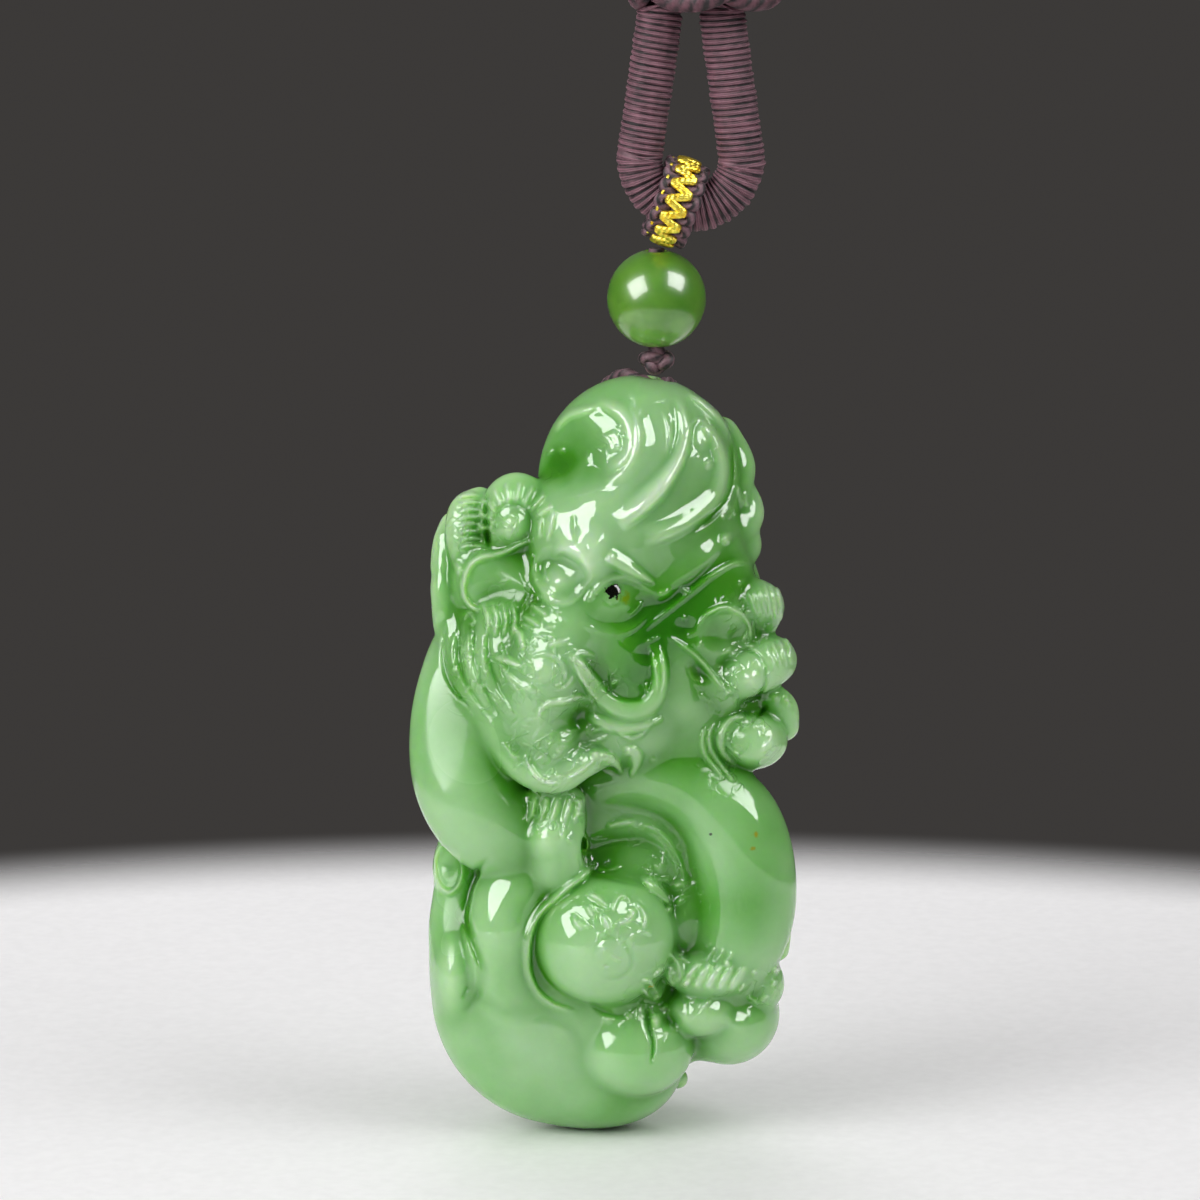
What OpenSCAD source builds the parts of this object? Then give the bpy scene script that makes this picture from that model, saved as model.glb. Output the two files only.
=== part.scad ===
// A carved jade dragon pendant under a jade bead, hung from a corded ring on a
// thread-wrapped loop, a head knot and a round braided neck cord

/* [Carving] */
// Width of the jade carving, left to right
carving_w = 31.7; // [29:0.1:35]
// Height of the jade carving
carving_h = 61.6; // [56:0.1:68]
// Thickness of the jade carving, front to back
carving_t = 22; // [20:0.1:25]
// Diameter of the thread that the carving hangs from
carving_thread_d = 0.9; // [0.7:0.1:1.2]

/* [Bead] */
// Diameter of the round jade bead
bead_d = 8; // [7:0.1:9]
// Diameter of the thread through the bead
bead_thread_d = 1.4; // [1:0.1:1.8]
// Width of the small knot under the bead
bead_knot_w = 3.2; // [2.6:0.1:4]
// Height of the small knot under the bead
bead_knot_h = 2.1; // [1.6:0.1:2.8]

/* [Bail] */
// Outer diameter of the knotted ring, over the gold thread that lies on it
bail_d = 7.4; // [7.2:0.1:8.4]
// Width of the knotted ring, along the thick loop
bail_w = 3.3; // [2.8:0.1:3.6]
// Width of the gold zigzag round the ring
gold_w = 1.7; // [1.2:0.1:2.2]
// Diameter of the gold thread
gold_d = 0.4; // [0.3:0.05:0.5]

/* [Thick loop] */
// Diameter of the thread-wrapped loop
loop_d = 3.7; // [3.4:0.1:3.9]
// Bend radius of the loop's middle line at its foot
loop_bend_r = 4.1; // [4:0.1:4.6]
// Height of the loop's middle line, from its foot to the head knot
loop_h = 15.8; // [13:0.1:20]

/* [Head knot] */
// Width of the head knot, left to right
head_knot_w = 12.8; // [12:0.1:15]
// Height of the head knot
head_knot_h = 9; // [8:0.1:12]
// Thickness of the head knot, front to back
head_knot_t = 8.6; // [7.5:0.1:11]

/* [Neck cord] */
// Diameter of the braided neck cord
neck_cord_d = 3; // [2.4:0.1:3.6]
// Inner radius of the loop where it goes round the neck
neck_inner_r = 60; // [50:1:75]
// Length of each straight side, from the neck bend to the strands' meeting point
neck_side = 205; // [160:5:260]

/* [Clearances] */
// Gap between pieces that touch on the real pendant
piece_gap = 0.06; // [0.04:0.01:0.1]
// Gap between the ring and what it rides or stands on
ring_gap = 0.3; // [0.2:0.05:0.4]
// Gap round a thread inside its hole
thread_gap = 0.15; // [0.1:0.05:0.25]

/* [Hidden] */

CORD_COLOUR = [0.24, 0.17, 0.19];
GOLD_COLOUR = [0.86, 0.68, 0.12];
JADE_COLOUR = [0.45, 0.70, 0.38];
BEAD_COLOUR = [0.38, 0.60, 0.25];

// Neck cord: round the neck on an arc, then straight to the head knot. The origin is on the
// inside of the cord at the top, where the back of a neck carries it.
neck_r = neck_inner_r + neck_cord_d / 2;
neck_z = -neck_inner_r;
apex_drop = sqrt(neck_r * neck_r + neck_side * neck_side);
side_lean = asin(neck_r / apex_drop);
strand_x = 0.6 * neck_cord_d;
strand_tail = 2;
head_knot_top = neck_z - apex_drop + strand_x / tan(side_lean);
head_knot_foot = head_knot_top - head_knot_h;

// Thick loop: an arc at the foot and two legs that close up to the head knot
loop_x = -1;
loop_foot_z = head_knot_foot - loop_h;
loop_bend_z = loop_foot_z + loop_bend_r;
leg_top_x = 2.6;
leg_tail = 0.8;
// Angles from straight down at which the foot's arc runs into the left and the right leg
left_bend = 100;
right_bend = 92;

// Ring: its axis lies along the thick loop where the ring hangs. Its edges rest on the inside of
// the loop's bend, which leaves room for them at bend_seat from the bend's centre, and its far side
// passes under the loop.
bail_tilt = 19;
bend_hole_r = loop_bend_r - loop_d / 2 - ring_gap / 2;
bend_seat = sqrt(bend_hole_r * bend_hole_r - bail_w * bail_w / 4);
bail_inner_r = (loop_bend_r + loop_d / 2 + ring_gap / 2 - bend_seat) / 2;
bail_arm = bend_seat + bail_inner_r;
bail_x = loop_x - bail_arm * sin(bail_tilt);
bail_z = loop_bend_z - bail_arm * cos(bail_tilt);
// The gold thread lies on the ring's face, and the ring's edges are taken down by the crown
gold_r = (bail_d - gold_d) / 2;
band_r = bail_d / 2 - gold_d - piece_gap;
bail_crown = 0.3;

// Bead, small knot and carving follow one another down the hanging line
bead_lean = 11;
bead_arm = bail_d / 2 + bead_d / 2 + ring_gap;
bead_x = bail_x - bead_arm * sin(bead_lean);
bead_z = bail_z - bead_arm * cos(bead_lean);
bead_hole_d = bead_thread_d + 2 * thread_gap;
knot_top_z = bead_z - bead_d / 2 - piece_gap;
knot_foot_z = knot_top_z - bead_knot_h;
carving_top_z = knot_foot_z - piece_gap;
carving_x = bead_x - 0.134 * carving_w;

// Heights in the carving's tables are as seen from 10 degrees above level, so a point that
// stands nearer the front stands higher than its row by this share of its distance
view_rise = tan(10);

// Carving thread, from the middle of the small knot's foot to the right, back and up, in
// hundredths of the carving's width
THREAD_ROUTE = [
    [-1.9, 1.9, -2.5], [-4.7, 4.1, -1.6], [-7.9, 6.9, -0.8], [-11.4, 10.4, -2.8],
    [-14.8, 14.2, -6.9], [-18.3, 17, -12], [-20.5, 17.7, -15.1], [-20.5, 16.1, -18],
    [-17, 13.6, -19.2], [-10.7, 11.4, -19.6], [1.9, 11.4, -19.6], [8.2, 13.6, -19.2],
    [11.7, 16.1, -18], [11.7, 17.7, -15.1], [9.5, 17, -12.9], [6, 14.2, -8.5],
    [4.4, 10.4, -4.7], [3.5, 6.9, -3.2], [2.5, 4.1, -2.8], [1.9, 1.9, -2.5]
];

// Swollen masses of the carving. Columns: across from the left and up from the foot, out to the
// front, then the half sizes across, out and up. Across and up are in hundredths of the carving's
// width and height, out in hundredths of half its thickness.
MASSES = [
    // crest, face, forehead and temple
    [59, 86, -5, 26, 62, 14],
    [54, 72, 15, 24, 52, 14],
    [52, 79, 35, 17, 38, 8],
    [70, 72, 5, 17, 45, 12],
    // trunk, neck, foot and the ground behind the curls of each side
    [50, 50, -15, 38, 50, 36],
    [69, 53, 10, 18, 46, 10],
    [42, 18.5, 0, 36, 55, 18.5],
    [54, 6, -5, 18, 48, 6],
    [21, 74, -2, 13.5, 38, 10.5],
    [82, 61, -6, 13, 36, 12],
    // eyes, nose and chin
    [39.5, 73.5, 70, 5.5, 16, 3],
    [52, 70.8, 62, 7, 13, 2.6],
    [34.5, 60.5, 80, 8, 17, 3.4],
    [34, 50, 48, 11, 25, 4.6],
    // ear, left curl, right curl
    [21, 72.5, 34, 8, 17, 4.2],
    [26.5, 79.8, 34, 5, 15, 2.8],
    [86, 51.5, 32, 8.5, 22, 4.6],
    // ball, lower ball, right flank
    [50, 24.5, 45, 18.3, 46, 9.2],
    [58, 10.4, 26, 14.8, 42, 7],
    [82, 14, -8, 13, 46, 7.2]
];

// Fat coils of the body. Columns: across, up, out and radius, the radius in hundredths of the
// carving's width.
COILS = [
    // left coil
    [[18, 66, -12, 9], [14.5, 60, 3, 11], [13, 53, 18, 13], [14, 46, 28, 13.5], [20, 40, 32, 13],
     [29, 36, 26, 11], [37, 33, 15, 8]],
    // right coil
    [[52, 47, 25, 8], [66, 48, 22, 10], [78, 44, 20, 12], [85, 38, 22, 13.2], [87, 31, 22, 13],
     [84, 24, 20, 12], [76, 17, 12, 10]],
    // bulging turn beside the ball
    [[37, 34, 24, 8], [30, 31.5, 31, 10], [25.5, 27, 33, 10.5], [25, 20, 30, 11], [29, 14, 22, 11]],
    // turn at the left under the coils
    [[15, 37, -15, 8], [15, 30, -15, 7.5], [13, 24, -2, 7], [14, 18, 8, 8]],
    // turns across the back
    [[62, 78, -42, 10], [42, 75, -52, 11], [25, 67, -52, 11], [25, 53, -55, 11.5],
     [45, 44, -60, 12], [68, 36, -58, 12], [72, 25, -52, 12], [56, 15, -50, 12], [38, 13, -44, 11]],
    [[80, 76, -30, 8], [84, 66, -32, 9], [82, 54, -35, 10], [72, 47, -40, 9]],
    [[20, 40, -40, 9], [30, 30, -48, 10], [30, 22, -45, 9]]
];

// Hair, mane, jaws, whisker and paws. Columns as for the coils.
STRANDS = [
    // hair swept back over the crest
    [[55, 96, 30, 3], [58, 92.5, 50, 3.2], [57, 88.5, 58, 3], [50, 86, 60, 2.6], [42, 84.5, 54, 2]],
    [[63, 97, 30, 3.2], [67, 92, 50, 3.4], [65, 87, 62, 3.4], [58, 82, 70, 2.8]],
    [[70, 95, 30, 3], [74, 90, 42, 3.2], [72, 86, 54, 3.4], [62, 81, 68, 2.4]],
    [[75, 96, 12, 3], [79.5, 91.5, 26, 3.6], [80.5, 87, 34, 3.8], [75, 82.5, 50, 3.4], [66, 79, 64, 2.4]],
    [[69, 98, 0, 3], [77, 96, 4, 3.6], [81.5, 92, 0, 3.6]],
    // lobes of hair down the right edge
    [[80, 92, -20, 5], [84.5, 87.5, -14, 4.6], [83, 84, -4, 4]],
    [[82, 86, -20, 5], [86.5, 81.8, -12, 5], [84, 79, 0, 4]],
    [[82, 80, -14, 6], [86, 77, -8, 4.6], [80, 75, 12, 3.6], [68, 71.5, 40, 2.4]],
    // curl at the upper left, with the lobes beside it
    [[33, 77, 42, 3], [35, 81, 38, 3.6], [33, 84.6, 32, 3.8], [27, 85.3, 26, 3.8], [22.5, 82.6, 22, 3.4],
     [21.5, 79, 24, 3]],
    [[16, 81.5, 5, 6.5], [16, 77, 12, 6.5]],
    [[11, 79, -5, 4.5], [11, 74, 0, 5], [11, 69.5, 4, 5]],
    [[13, 66, 6, 5.5], [14, 61, 16, 5.5], [17, 58, 28, 5], [22, 56, 40, 4]],
    // brows
    [[33, 75, 62, 1.8], [36, 77.6, 70, 2.2], [42, 77.8, 74, 2.4], [47, 75, 72, 2]],
    [[50, 74.6, 70, 2.2], [57, 74, 70, 2.6], [64, 72.8, 60, 2.4], [74, 75, 36, 2.2]],
    // snout, lips and cheek
    [[45, 72, 66, 5], [39, 67.5, 76, 5.6], [36, 63.5, 80, 6]],
    [[27, 67, 56, 5], [24.5, 61, 62, 5], [24, 57, 62, 4.6], [25, 53, 58, 4]],
    [[26, 56.5, 68, 3], [31, 58, 78, 2.8], [38, 57.5, 80, 2.8], [44, 60, 76, 2.8]],
    [[46, 66, 58, 7], [55, 66, 50, 8], [64, 68, 36, 8]],
    // jaw, tongue and beard
    [[23, 52, 58, 3], [26, 48.2, 66, 3.4], [32, 46, 72, 3.6], [38, 45.8, 74, 3.6], [44, 47.4, 72, 3],
     [52, 48.6, 60, 2.2]],
    [[43, 53, 58, 3.6], [38, 50.4, 66, 3.4], [33, 49, 68, 2.4]],
    [[46, 53.4, 66, 3], [51, 53, 70, 3], [57, 52.2, 68, 2.4], [61, 53, 62, 1.8]],
    [[55.5, 50.4, 46, 3], [57.5, 48.4, 46, 2.6], [57, 46.6, 44, 1.6]],
    // whisker
    [[42, 62, 76, 2.2], [47, 59.8, 80, 2.4], [50.5, 56.8, 80, 2.6], [55, 55, 78, 2.8], [60, 55, 74, 2.6],
     [64, 57, 70, 2.2], [65, 60, 68, 1.8], [64.5, 63, 66, 1.2]],
    // ridge from the cheek to the right curls
    [[66, 66, 46, 1.6], [74, 62.5, 46, 2], [80, 59, 44, 2]],
    // curls down the right side
    [[74, 67, 22, 5.5], [82, 69, 18, 7], [89, 69.5, 8, 7]],
    [[80, 59.5, 32, 5.5], [87, 61, 26, 7], [92.6, 62, 14, 7.2]],
    [[93, 55, 6, 6.4], [93, 51, 8, 5.8]],
    // paw over the middle, its wrist and thumb
    [[33, 43.5, 56, 2.6], [33.5, 40.5, 62, 3]],
    [[37, 44, 60, 2.6], [37, 40.5, 65, 3]],
    [[41, 44, 60, 2.6], [40.5, 40.5, 64, 3]],
    [[37, 40, 52, 6.5], [38, 35.5, 46, 8.5], [38, 32.5, 38, 8.5]],
    [[45.5, 39, 48, 2], [45.5, 36, 46, 2]],
    // paw at the lower right, with its fin and wrist
    [[74, 22.5, 48, 2.4], [70, 18.8, 56, 2.6]],
    [[78, 22.5, 50, 2.4], [73.5, 18.4, 58, 2.6]],
    [[81.5, 21.5, 48, 2.4], [77, 17.8, 56, 2.6]],
    [[84, 20, 40, 4], [78, 17, 44, 6], [73, 15, 36, 7]],
    [[96, 26.5, -4, 1.2], [95.5, 21.5, 2, 3], [91, 17, 12, 4.5]],
    // small foot behind the lower ball
    [[66, 6, -20, 3.4], [69, 5.6, -22, 2.8]]
];

// Spine fins stand on the longest turn of the back. Their radius is in hundredths of the width.
FIN_COUNT = 3;
FIN_R = 2.6;
// Share of the turn's own radius at which a fin's root stands
FIN_ROOT = 0.75;

function unit(v) = v / norm(v);

// Points round a route's point, square to the line from the point before to the point after
function ring(before, point, after, r, sides) =
    let(t = unit(after - before), u = unit(cross(t, [0, 1, 0.2])), v = cross(t, u))
    [for (k = [0 : sides - 1]) point + r * (cos(360 * k / sides) * u + sin(360 * k / sides) * v)];

// A round tube swept along an open route
module tube(points, d, sides) {
    n = len(points);
    last = (n - 1) * sides;
    vertices = [for (i = [0 : n - 1])
        each ring(points[max(i - 1, 0)], points[i], points[min(i + 1, n - 1)], d / 2, sides)];
    walls = [for (i = [0 : n - 2], k = [0 : sides - 1])
        let(a = i * sides + k, b = i * sides + (k + 1) % sides) [a, a + sides, b + sides, b]];
    start = [for (k = [0 : sides - 1]) k];
    end = [for (k = [sides - 1 : -1 : 0]) last + k];
    polyhedron(points = vertices, faces = concat([start], walls, [end]), convexity = 6);
}

// A round tube swept along a route that closes on itself. It takes its rings square to the
// ring's own radius, so that they follow a zigzag without twisting.
module closed_tube(points, d, sides) {
    n = len(points);
    vertices = [for (p = points)
        let(out = unit([p[0], p[1], 0]))
        each [for (k = [0 : sides - 1])
            p + d / 2 * (cos(360 * k / sides) * out + sin(360 * k / sides) * [0, 0, 1])]];
    walls = [for (i = [0 : n - 1], k = [0 : sides - 1])
        let(a = i * sides + k, b = i * sides + (k + 1) % sides, next = ((i + 1) % n) * sides)
        [a, b, next + (k + 1) % sides, next + k]];
    polyhedron(points = vertices, faces = walls, convexity = 6);
}

// Points between the rows of a route, on a smooth curve through them
function curve_point(a, b, c, d, t) =
    0.5 * (2 * b + (c - a) * t + (2 * a - 5 * b + 4 * c - d) * t * t
        + (3 * b - a - 3 * c + d) * t * t * t);

function smooth_route(points, steps) =
    let(n = len(points))
    concat(
        [for (i = [0 : n - 2], s = [0 : steps - 1])
            curve_point(points[max(i - 1, 0)], points[i], points[i + 1], points[min(i + 2, n - 1)],
                s / steps)],
        [points[n - 1]]);

function neck_point(a) = [neck_r * sin(a), 0, neck_z + neck_r * cos(a)];

function neck_route() =
    let(bend = 90 + side_lean, steps = 26, top = head_knot_top + piece_gap)
    concat(
        [[-strand_x, 0, top], [-strand_x, 0, top + strand_tail]],
        [for (i = [0 : steps]) neck_point(-bend + 2 * bend * i / steps)],
        [[strand_x, 0, top + strand_tail], [strand_x, 0, top]]);

function loop_point(a) = [loop_x + loop_bend_r * sin(a), 0, loop_bend_z - loop_bend_r * cos(a)];

function loop_route() =
    let(top = head_knot_foot - piece_gap, steps = 16)
    concat(
        [[-leg_top_x, 0, top], [-leg_top_x, 0, top - leg_tail]],
        [for (i = [0 : steps]) loop_point(-left_bend + (left_bend + right_bend) * i / steps)],
        [[leg_top_x, 0, top - leg_tail], [leg_top_x, 0, top]]);

module neck_cord() {
    color(CORD_COLOUR) tube(neck_route(), neck_cord_d, 8);
}

module wrapped_loop() {
    color(CORD_COLOUR) tube(loop_route(), loop_d, 12);
}

// One plump strand of the head knot, between two places on it
module knot_strand(from, to, d) {
    hull() {
        translate(from) sphere(d = d, $fn = 12);
        translate(to) sphere(d = d, $fn = 12);
    }
}

// Strands bow over the front and back of a flat-ended core, three to a side
module head_knot() {
    strand = head_knot_h / 3;
    wide = head_knot_w / 2 - strand / 2;
    deep = head_knot_t / 2 - strand / 2;
    tall = head_knot_h / 2 - strand / 2;
    // A strand's ends stand less far out than its middle, by this share
    end_share = 0.4;
    // The core stays inside the strands
    core_r = 0.38 * head_knot_t;
    core_x = head_knot_w / 2 - 1.1 * core_r;
    color(CORD_COLOUR) translate([0, 0, (head_knot_top + head_knot_foot) / 2]) {
        hull() for (side = [-1, 1]) translate([side * core_x, 0, 0])
            cylinder(r = core_r, h = head_knot_h, center = true, $fn = 20);
        for (side = [-1, 1], i = [-1 : 1]) {
            knot_strand([-wide, side * deep * end_share, i * tall], [0, side * deep, i * tall], strand);
            knot_strand([0, side * deep, i * tall], [wide, side * deep * end_share, i * tall], strand);
        }
        for (side = [-1, 1], i = [-1 : 1])
            knot_strand([side * wide, -deep * end_share, i * tall],
                [side * wide, deep * end_share, i * tall], strand);
    }
}

// Turn a shape drawn round the upright axis onto the ring's axis
module on_bail() {
    translate([bail_x, 0, bail_z]) rotate([0, 90 + bail_tilt, 0]) children();
}

module bail_band() {
    edge = bail_w / 2;
    // The ring's face is full width over its middle, by this share
    face = 0.6 * edge;
    color(CORD_COLOUR) on_bail() rotate_extrude($fn = 48) polygon([
        [bail_inner_r, -edge], [band_r - bail_crown, -edge], [band_r, -face],
        [band_r, face], [band_r - bail_crown, edge], [bail_inner_r, edge]
    ]);
}

// Zigzag round the ring, with two corners at one edge and then two at the other
module gold_thread() {
    corner_count = 48;
    reach = (gold_w - gold_d) / 2;
    corners = [for (i = [0 : corner_count - 1])
        let(a = 360 * i / corner_count)
        [gold_r * cos(a), gold_r * sin(a), (i % 4 < 2 ? 1 : -1) * reach]];
    color(GOLD_COLOUR) on_bail() closed_tube(corners, gold_d, 6);
}

module jade_bead() {
    color(BEAD_COLOUR) translate([bead_x, 0, bead_z]) difference() {
        sphere(d = bead_d, $fn = 64);
        cylinder(d = bead_hole_d, h = bead_d + 1, center = true, $fn = 32);
    }
}

// The thread rises from the small knot, through the bead, to the foot of the ring
module bead_thread() {
    foot = knot_top_z + piece_gap;
    top = bail_z - bail_d / 2 - piece_gap;
    color(CORD_COLOUR) translate([bead_x, 0, foot])
        cylinder(d = bead_thread_d, h = top - foot, $fn = 32);
}

// Two rounded wraps, one over the other
module bead_knot() {
    wrap = bead_knot_h / 2;
    color(CORD_COLOUR) translate([bead_x, 0, knot_foot_z]) rotate_extrude($fn = 32) union() {
        for (i = [0, 1])
            translate([bead_knot_w / 2 - wrap / 2, (i + 0.5) * wrap]) circle(d = wrap, $fn = 24);
        square([bead_knot_w / 2 - wrap / 2, bead_knot_h]);
    }
}

function thread_route() =
    [for (p = smooth_route(THREAD_ROUTE, 2)) [bead_x, 0, knot_foot_z] + p / 100 * carving_w];

module carving_thread() {
    color(CORD_COLOUR) tube(thread_route(), carving_thread_d, 8);
}

// Where a table row stands on the carving
function place(across, up, out) =
    let(forward = out / 100 * carving_t / 2)
    [carving_x + (across / 100 - 0.5) * carving_w, -forward,
     carving_top_z - (1 - up / 100) * carving_h + view_rise * forward];

function row_place(row) = place(row[0], row[1], row[2]);

module knob(row, sides) {
    translate(row_place(row)) sphere(d = 2 * row[3] / 100 * carving_w, $fn = sides);
}

module stroke(rows, sides) {
    for (i = [0 : len(rows) - 2]) hull() {
        knob(rows[i], sides);
        knob(rows[i + 1], sides);
    }
}

module mass(row) {
    translate(row_place(row))
        scale([row[3] / 100 * carving_w, row[4] / 100 * carving_t / 2, row[5] / 100 * carving_h])
            sphere(r = 1, $fn = 16);
}

// How far out a radius of the tables reaches, in hundredths of half the thickness
function out_reach(r) = r * carving_w / (carving_t / 2);

module spine_fins() {
    turn = COILS[4];
    for (i = [1 : len(turn) - 3], s = [0 : FIN_COUNT - 1]) {
        row = turn[i] + (turn[i + 1] - turn[i]) * s / FIN_COUNT;
        hull() {
            knob([row[0], row[1], row[2] - out_reach(FIN_ROOT * row[3]), FIN_R], 8);
            knob([row[0] + 1, row[1] + 1, row[2] - out_reach(row[3]), FIN_R / 3], 8);
        }
    }
}

module jade_carving() {
    color(JADE_COLOUR) difference() {
        union() {
            for (row = MASSES) mass(row);
            for (rows = COILS) stroke(rows, 12);
            for (rows = STRANDS) stroke(rows, 8);
            spine_fins();
        }
        tube(thread_route(), carving_thread_d + 2 * thread_gap, 8);
    }
}

neck_cord();
head_knot();
wrapped_loop();
bail_band();
gold_thread();
jade_bead();
bead_thread();
bead_knot();
carving_thread();
jade_carving();
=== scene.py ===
# Blender model of a carved jade dragon pendant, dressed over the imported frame
import math

import bpy
import numpy as np
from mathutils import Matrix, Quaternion, Vector


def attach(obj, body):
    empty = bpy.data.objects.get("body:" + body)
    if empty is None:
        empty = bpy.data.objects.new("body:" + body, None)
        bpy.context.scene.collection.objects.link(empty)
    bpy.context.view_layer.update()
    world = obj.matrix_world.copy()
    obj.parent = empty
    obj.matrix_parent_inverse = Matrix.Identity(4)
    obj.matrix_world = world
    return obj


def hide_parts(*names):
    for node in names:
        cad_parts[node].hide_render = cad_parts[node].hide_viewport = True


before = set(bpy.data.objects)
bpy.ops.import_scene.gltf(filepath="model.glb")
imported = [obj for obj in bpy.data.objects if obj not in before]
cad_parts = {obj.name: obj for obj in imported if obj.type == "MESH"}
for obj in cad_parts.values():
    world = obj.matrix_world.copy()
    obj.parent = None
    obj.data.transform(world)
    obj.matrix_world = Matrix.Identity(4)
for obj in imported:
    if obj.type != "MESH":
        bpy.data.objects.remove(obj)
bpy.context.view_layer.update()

# Sizes in millimetres, the same as in the solids
MM = 0.001
CARVING_W = 31.7
CARVING_H = 61.6
CARVING_T = 22.0
BEAD_D = 8.0
BEAD_X = -3.731
BEAD_Z = -300.077
KNOT_FOOT_Z = -306.237
CARVING_THREAD_D = 0.9

# The photo's pixels to the mm and to a hundredth of the carving's width and height, with the
# pixels of the carving's left edge and foot, and of the picture's middle and width
PIXELS_PER_MM = 12.25
ACROSS_PIXELS, UP_PIXELS = 3.88, 7.44
LEFT_PIXEL, FOOT_PIXEL, MIDDLE_PIXEL, PICTURE_PIXELS = 410, 1120, 600, 1200

# The camera looks 10 degrees down on the hanging line
CAMERA_FAR = 480.0
ELEVATION = math.radians(10)
AIM = np.array([BEAD_X - 4.57, 0.0, BEAD_Z - 24.78])
CAMERA_BACK = np.array([0.0, -math.cos(ELEVATION), math.sin(ELEVATION)])
CAMERA_AT = AIM + CAMERA_FAR * CAMERA_BACK

# For the winding's uneven turns
rng = np.random.default_rng(7)


# Points of the carving

def seen(rows):
    """Where the camera sees rows of across and up, in mm right and up from its aim."""
    rows = np.asarray(rows, float)
    return ((rows[:, 0] * ACROSS_PIXELS - (MIDDLE_PIXEL - LEFT_PIXEL)) / PIXELS_PER_MM,
            (rows[:, 1] * UP_PIXELS - (FOOT_PIXEL - MIDDLE_PIXEL)) / PIXELS_PER_MM)


def place(rows):
    """Points in mm for rows of across, up and out. Across and up are hundredths of the carving's
    width and height as the camera sees it, and out is hundredths of half its thickness."""
    rows = np.atleast_2d(np.asarray(rows, float))
    u, v = seen(rows)
    forward = rows[:, 2] / 100 * CARVING_T / 2
    reach = CAMERA_FAR * math.cos(ELEVATION)
    s = (reach - forward) / (reach + v * math.sin(ELEVATION))
    x = CAMERA_AT[0] + s * u
    z = CAMERA_AT[2] + s * (-CAMERA_FAR * math.sin(ELEVATION) + v * math.cos(ELEVATION))
    return np.stack([x, -forward, z], 1)


def screen(x, y, z):
    """Where the camera sees points, in mm right and up from its aim."""
    y, z = y - AIM[1], z - AIM[2]
    near = CAMERA_FAR / (CAMERA_FAR + y * math.cos(ELEVATION) - z * math.sin(ELEVATION))
    return (x - AIM[0]) * near, (y * math.sin(ELEVATION) + z * math.cos(ELEVATION)) * near


def ease(t):
    """A smooth step from 0 to 1."""
    t = np.clip(t, 0, 1)
    return t * t * (3 - 2 * t)


def smooth_rows(rows, steps):
    """Rows on a smooth curve through the given rows."""
    rows = np.asarray(rows, float)
    n = len(rows)
    out = []
    for i in range(n - 1):
        a, b, c, d = rows[max(i - 1, 0)], rows[i], rows[i + 1], rows[min(i + 2, n - 1)]
        for t in np.arange(steps) / steps:
            out.append(0.5 * (2 * b + (c - a) * t + (2 * a - 5 * b + 4 * c - d) * t ** 2
                              + (3 * b - a - 3 * c + d) * t ** 3))
    out.append(rows[-1])
    return np.array(out)


# Distance field of the carving, on a grid of cells: below zero inside the stone

STEP = 0.17
LOW = np.array([-25.8, -13.4, -371.0])
HIGH = np.array([10.4, 13.8, -304.0])
AXES = [np.arange(lo, hi, STEP, dtype=np.float32) for lo, hi in zip(LOW, HIGH)]
# The distance that stands for anywhere far from the stone
FAR = 4.0
field = np.full([len(a) for a in AXES], FAR, np.float32)


def part(lo, hi, pad):
    """The slices of the grid that hold a box, with its coordinates."""
    cut = []
    for k in range(3):
        first = max(0, int((lo[k] - pad - LOW[k]) / STEP))
        last = min(len(AXES[k]), int((hi[k] + pad - LOW[k]) / STEP) + 2)
        cut.append(slice(first, max(last, first + 1)))
    x = AXES[0][cut[0]][:, None, None]
    y = AXES[1][cut[1]][None, :, None]
    z = AXES[2][cut[2]][None, None, :]
    return tuple(cut), x, y, z


def within(box, cut):
    """Slices of a box counted from the start of the cut that it lies in."""
    return tuple(slice(max(b.start - c.start, 0), min(b.stop, c.stop) - c.start) for b, c in zip(box, cut))


def join(cut, d, k):
    """Adds a form to the field, blended over k mm."""
    a = field[cut]
    h = np.maximum(k - np.abs(a - d), 0)
    field[cut] = np.minimum(a, d) - h * h / (4 * k)


def carve(cut, d, k):
    """Takes a form out of the field, blended over k mm."""
    a = field[cut]
    h = np.maximum(k - np.abs(a + d), 0)
    field[cut] = np.maximum(a, -d) + h * h / (4 * k)


def ellipsoid(centre, half, k, work=join):
    """Adds or carves an ellipsoid, from its half sizes in mm."""
    cut, x, y, z = part(centre - np.array(half), centre + np.array(half), 2.5)
    x, y, z = x - centre[0], y - centre[1], z - centre[2]
    a, b, c = half
    near = np.sqrt((x / a) ** 2 + (y / b) ** 2 + (z / c) ** 2)
    steep = np.sqrt((x / a ** 2) ** 2 + (y / b ** 2) ** 2 + (z / c ** 2) ** 2) + 1e-6
    work(cut, (near * (near - 1) / steep).astype(np.float32), k)


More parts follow.
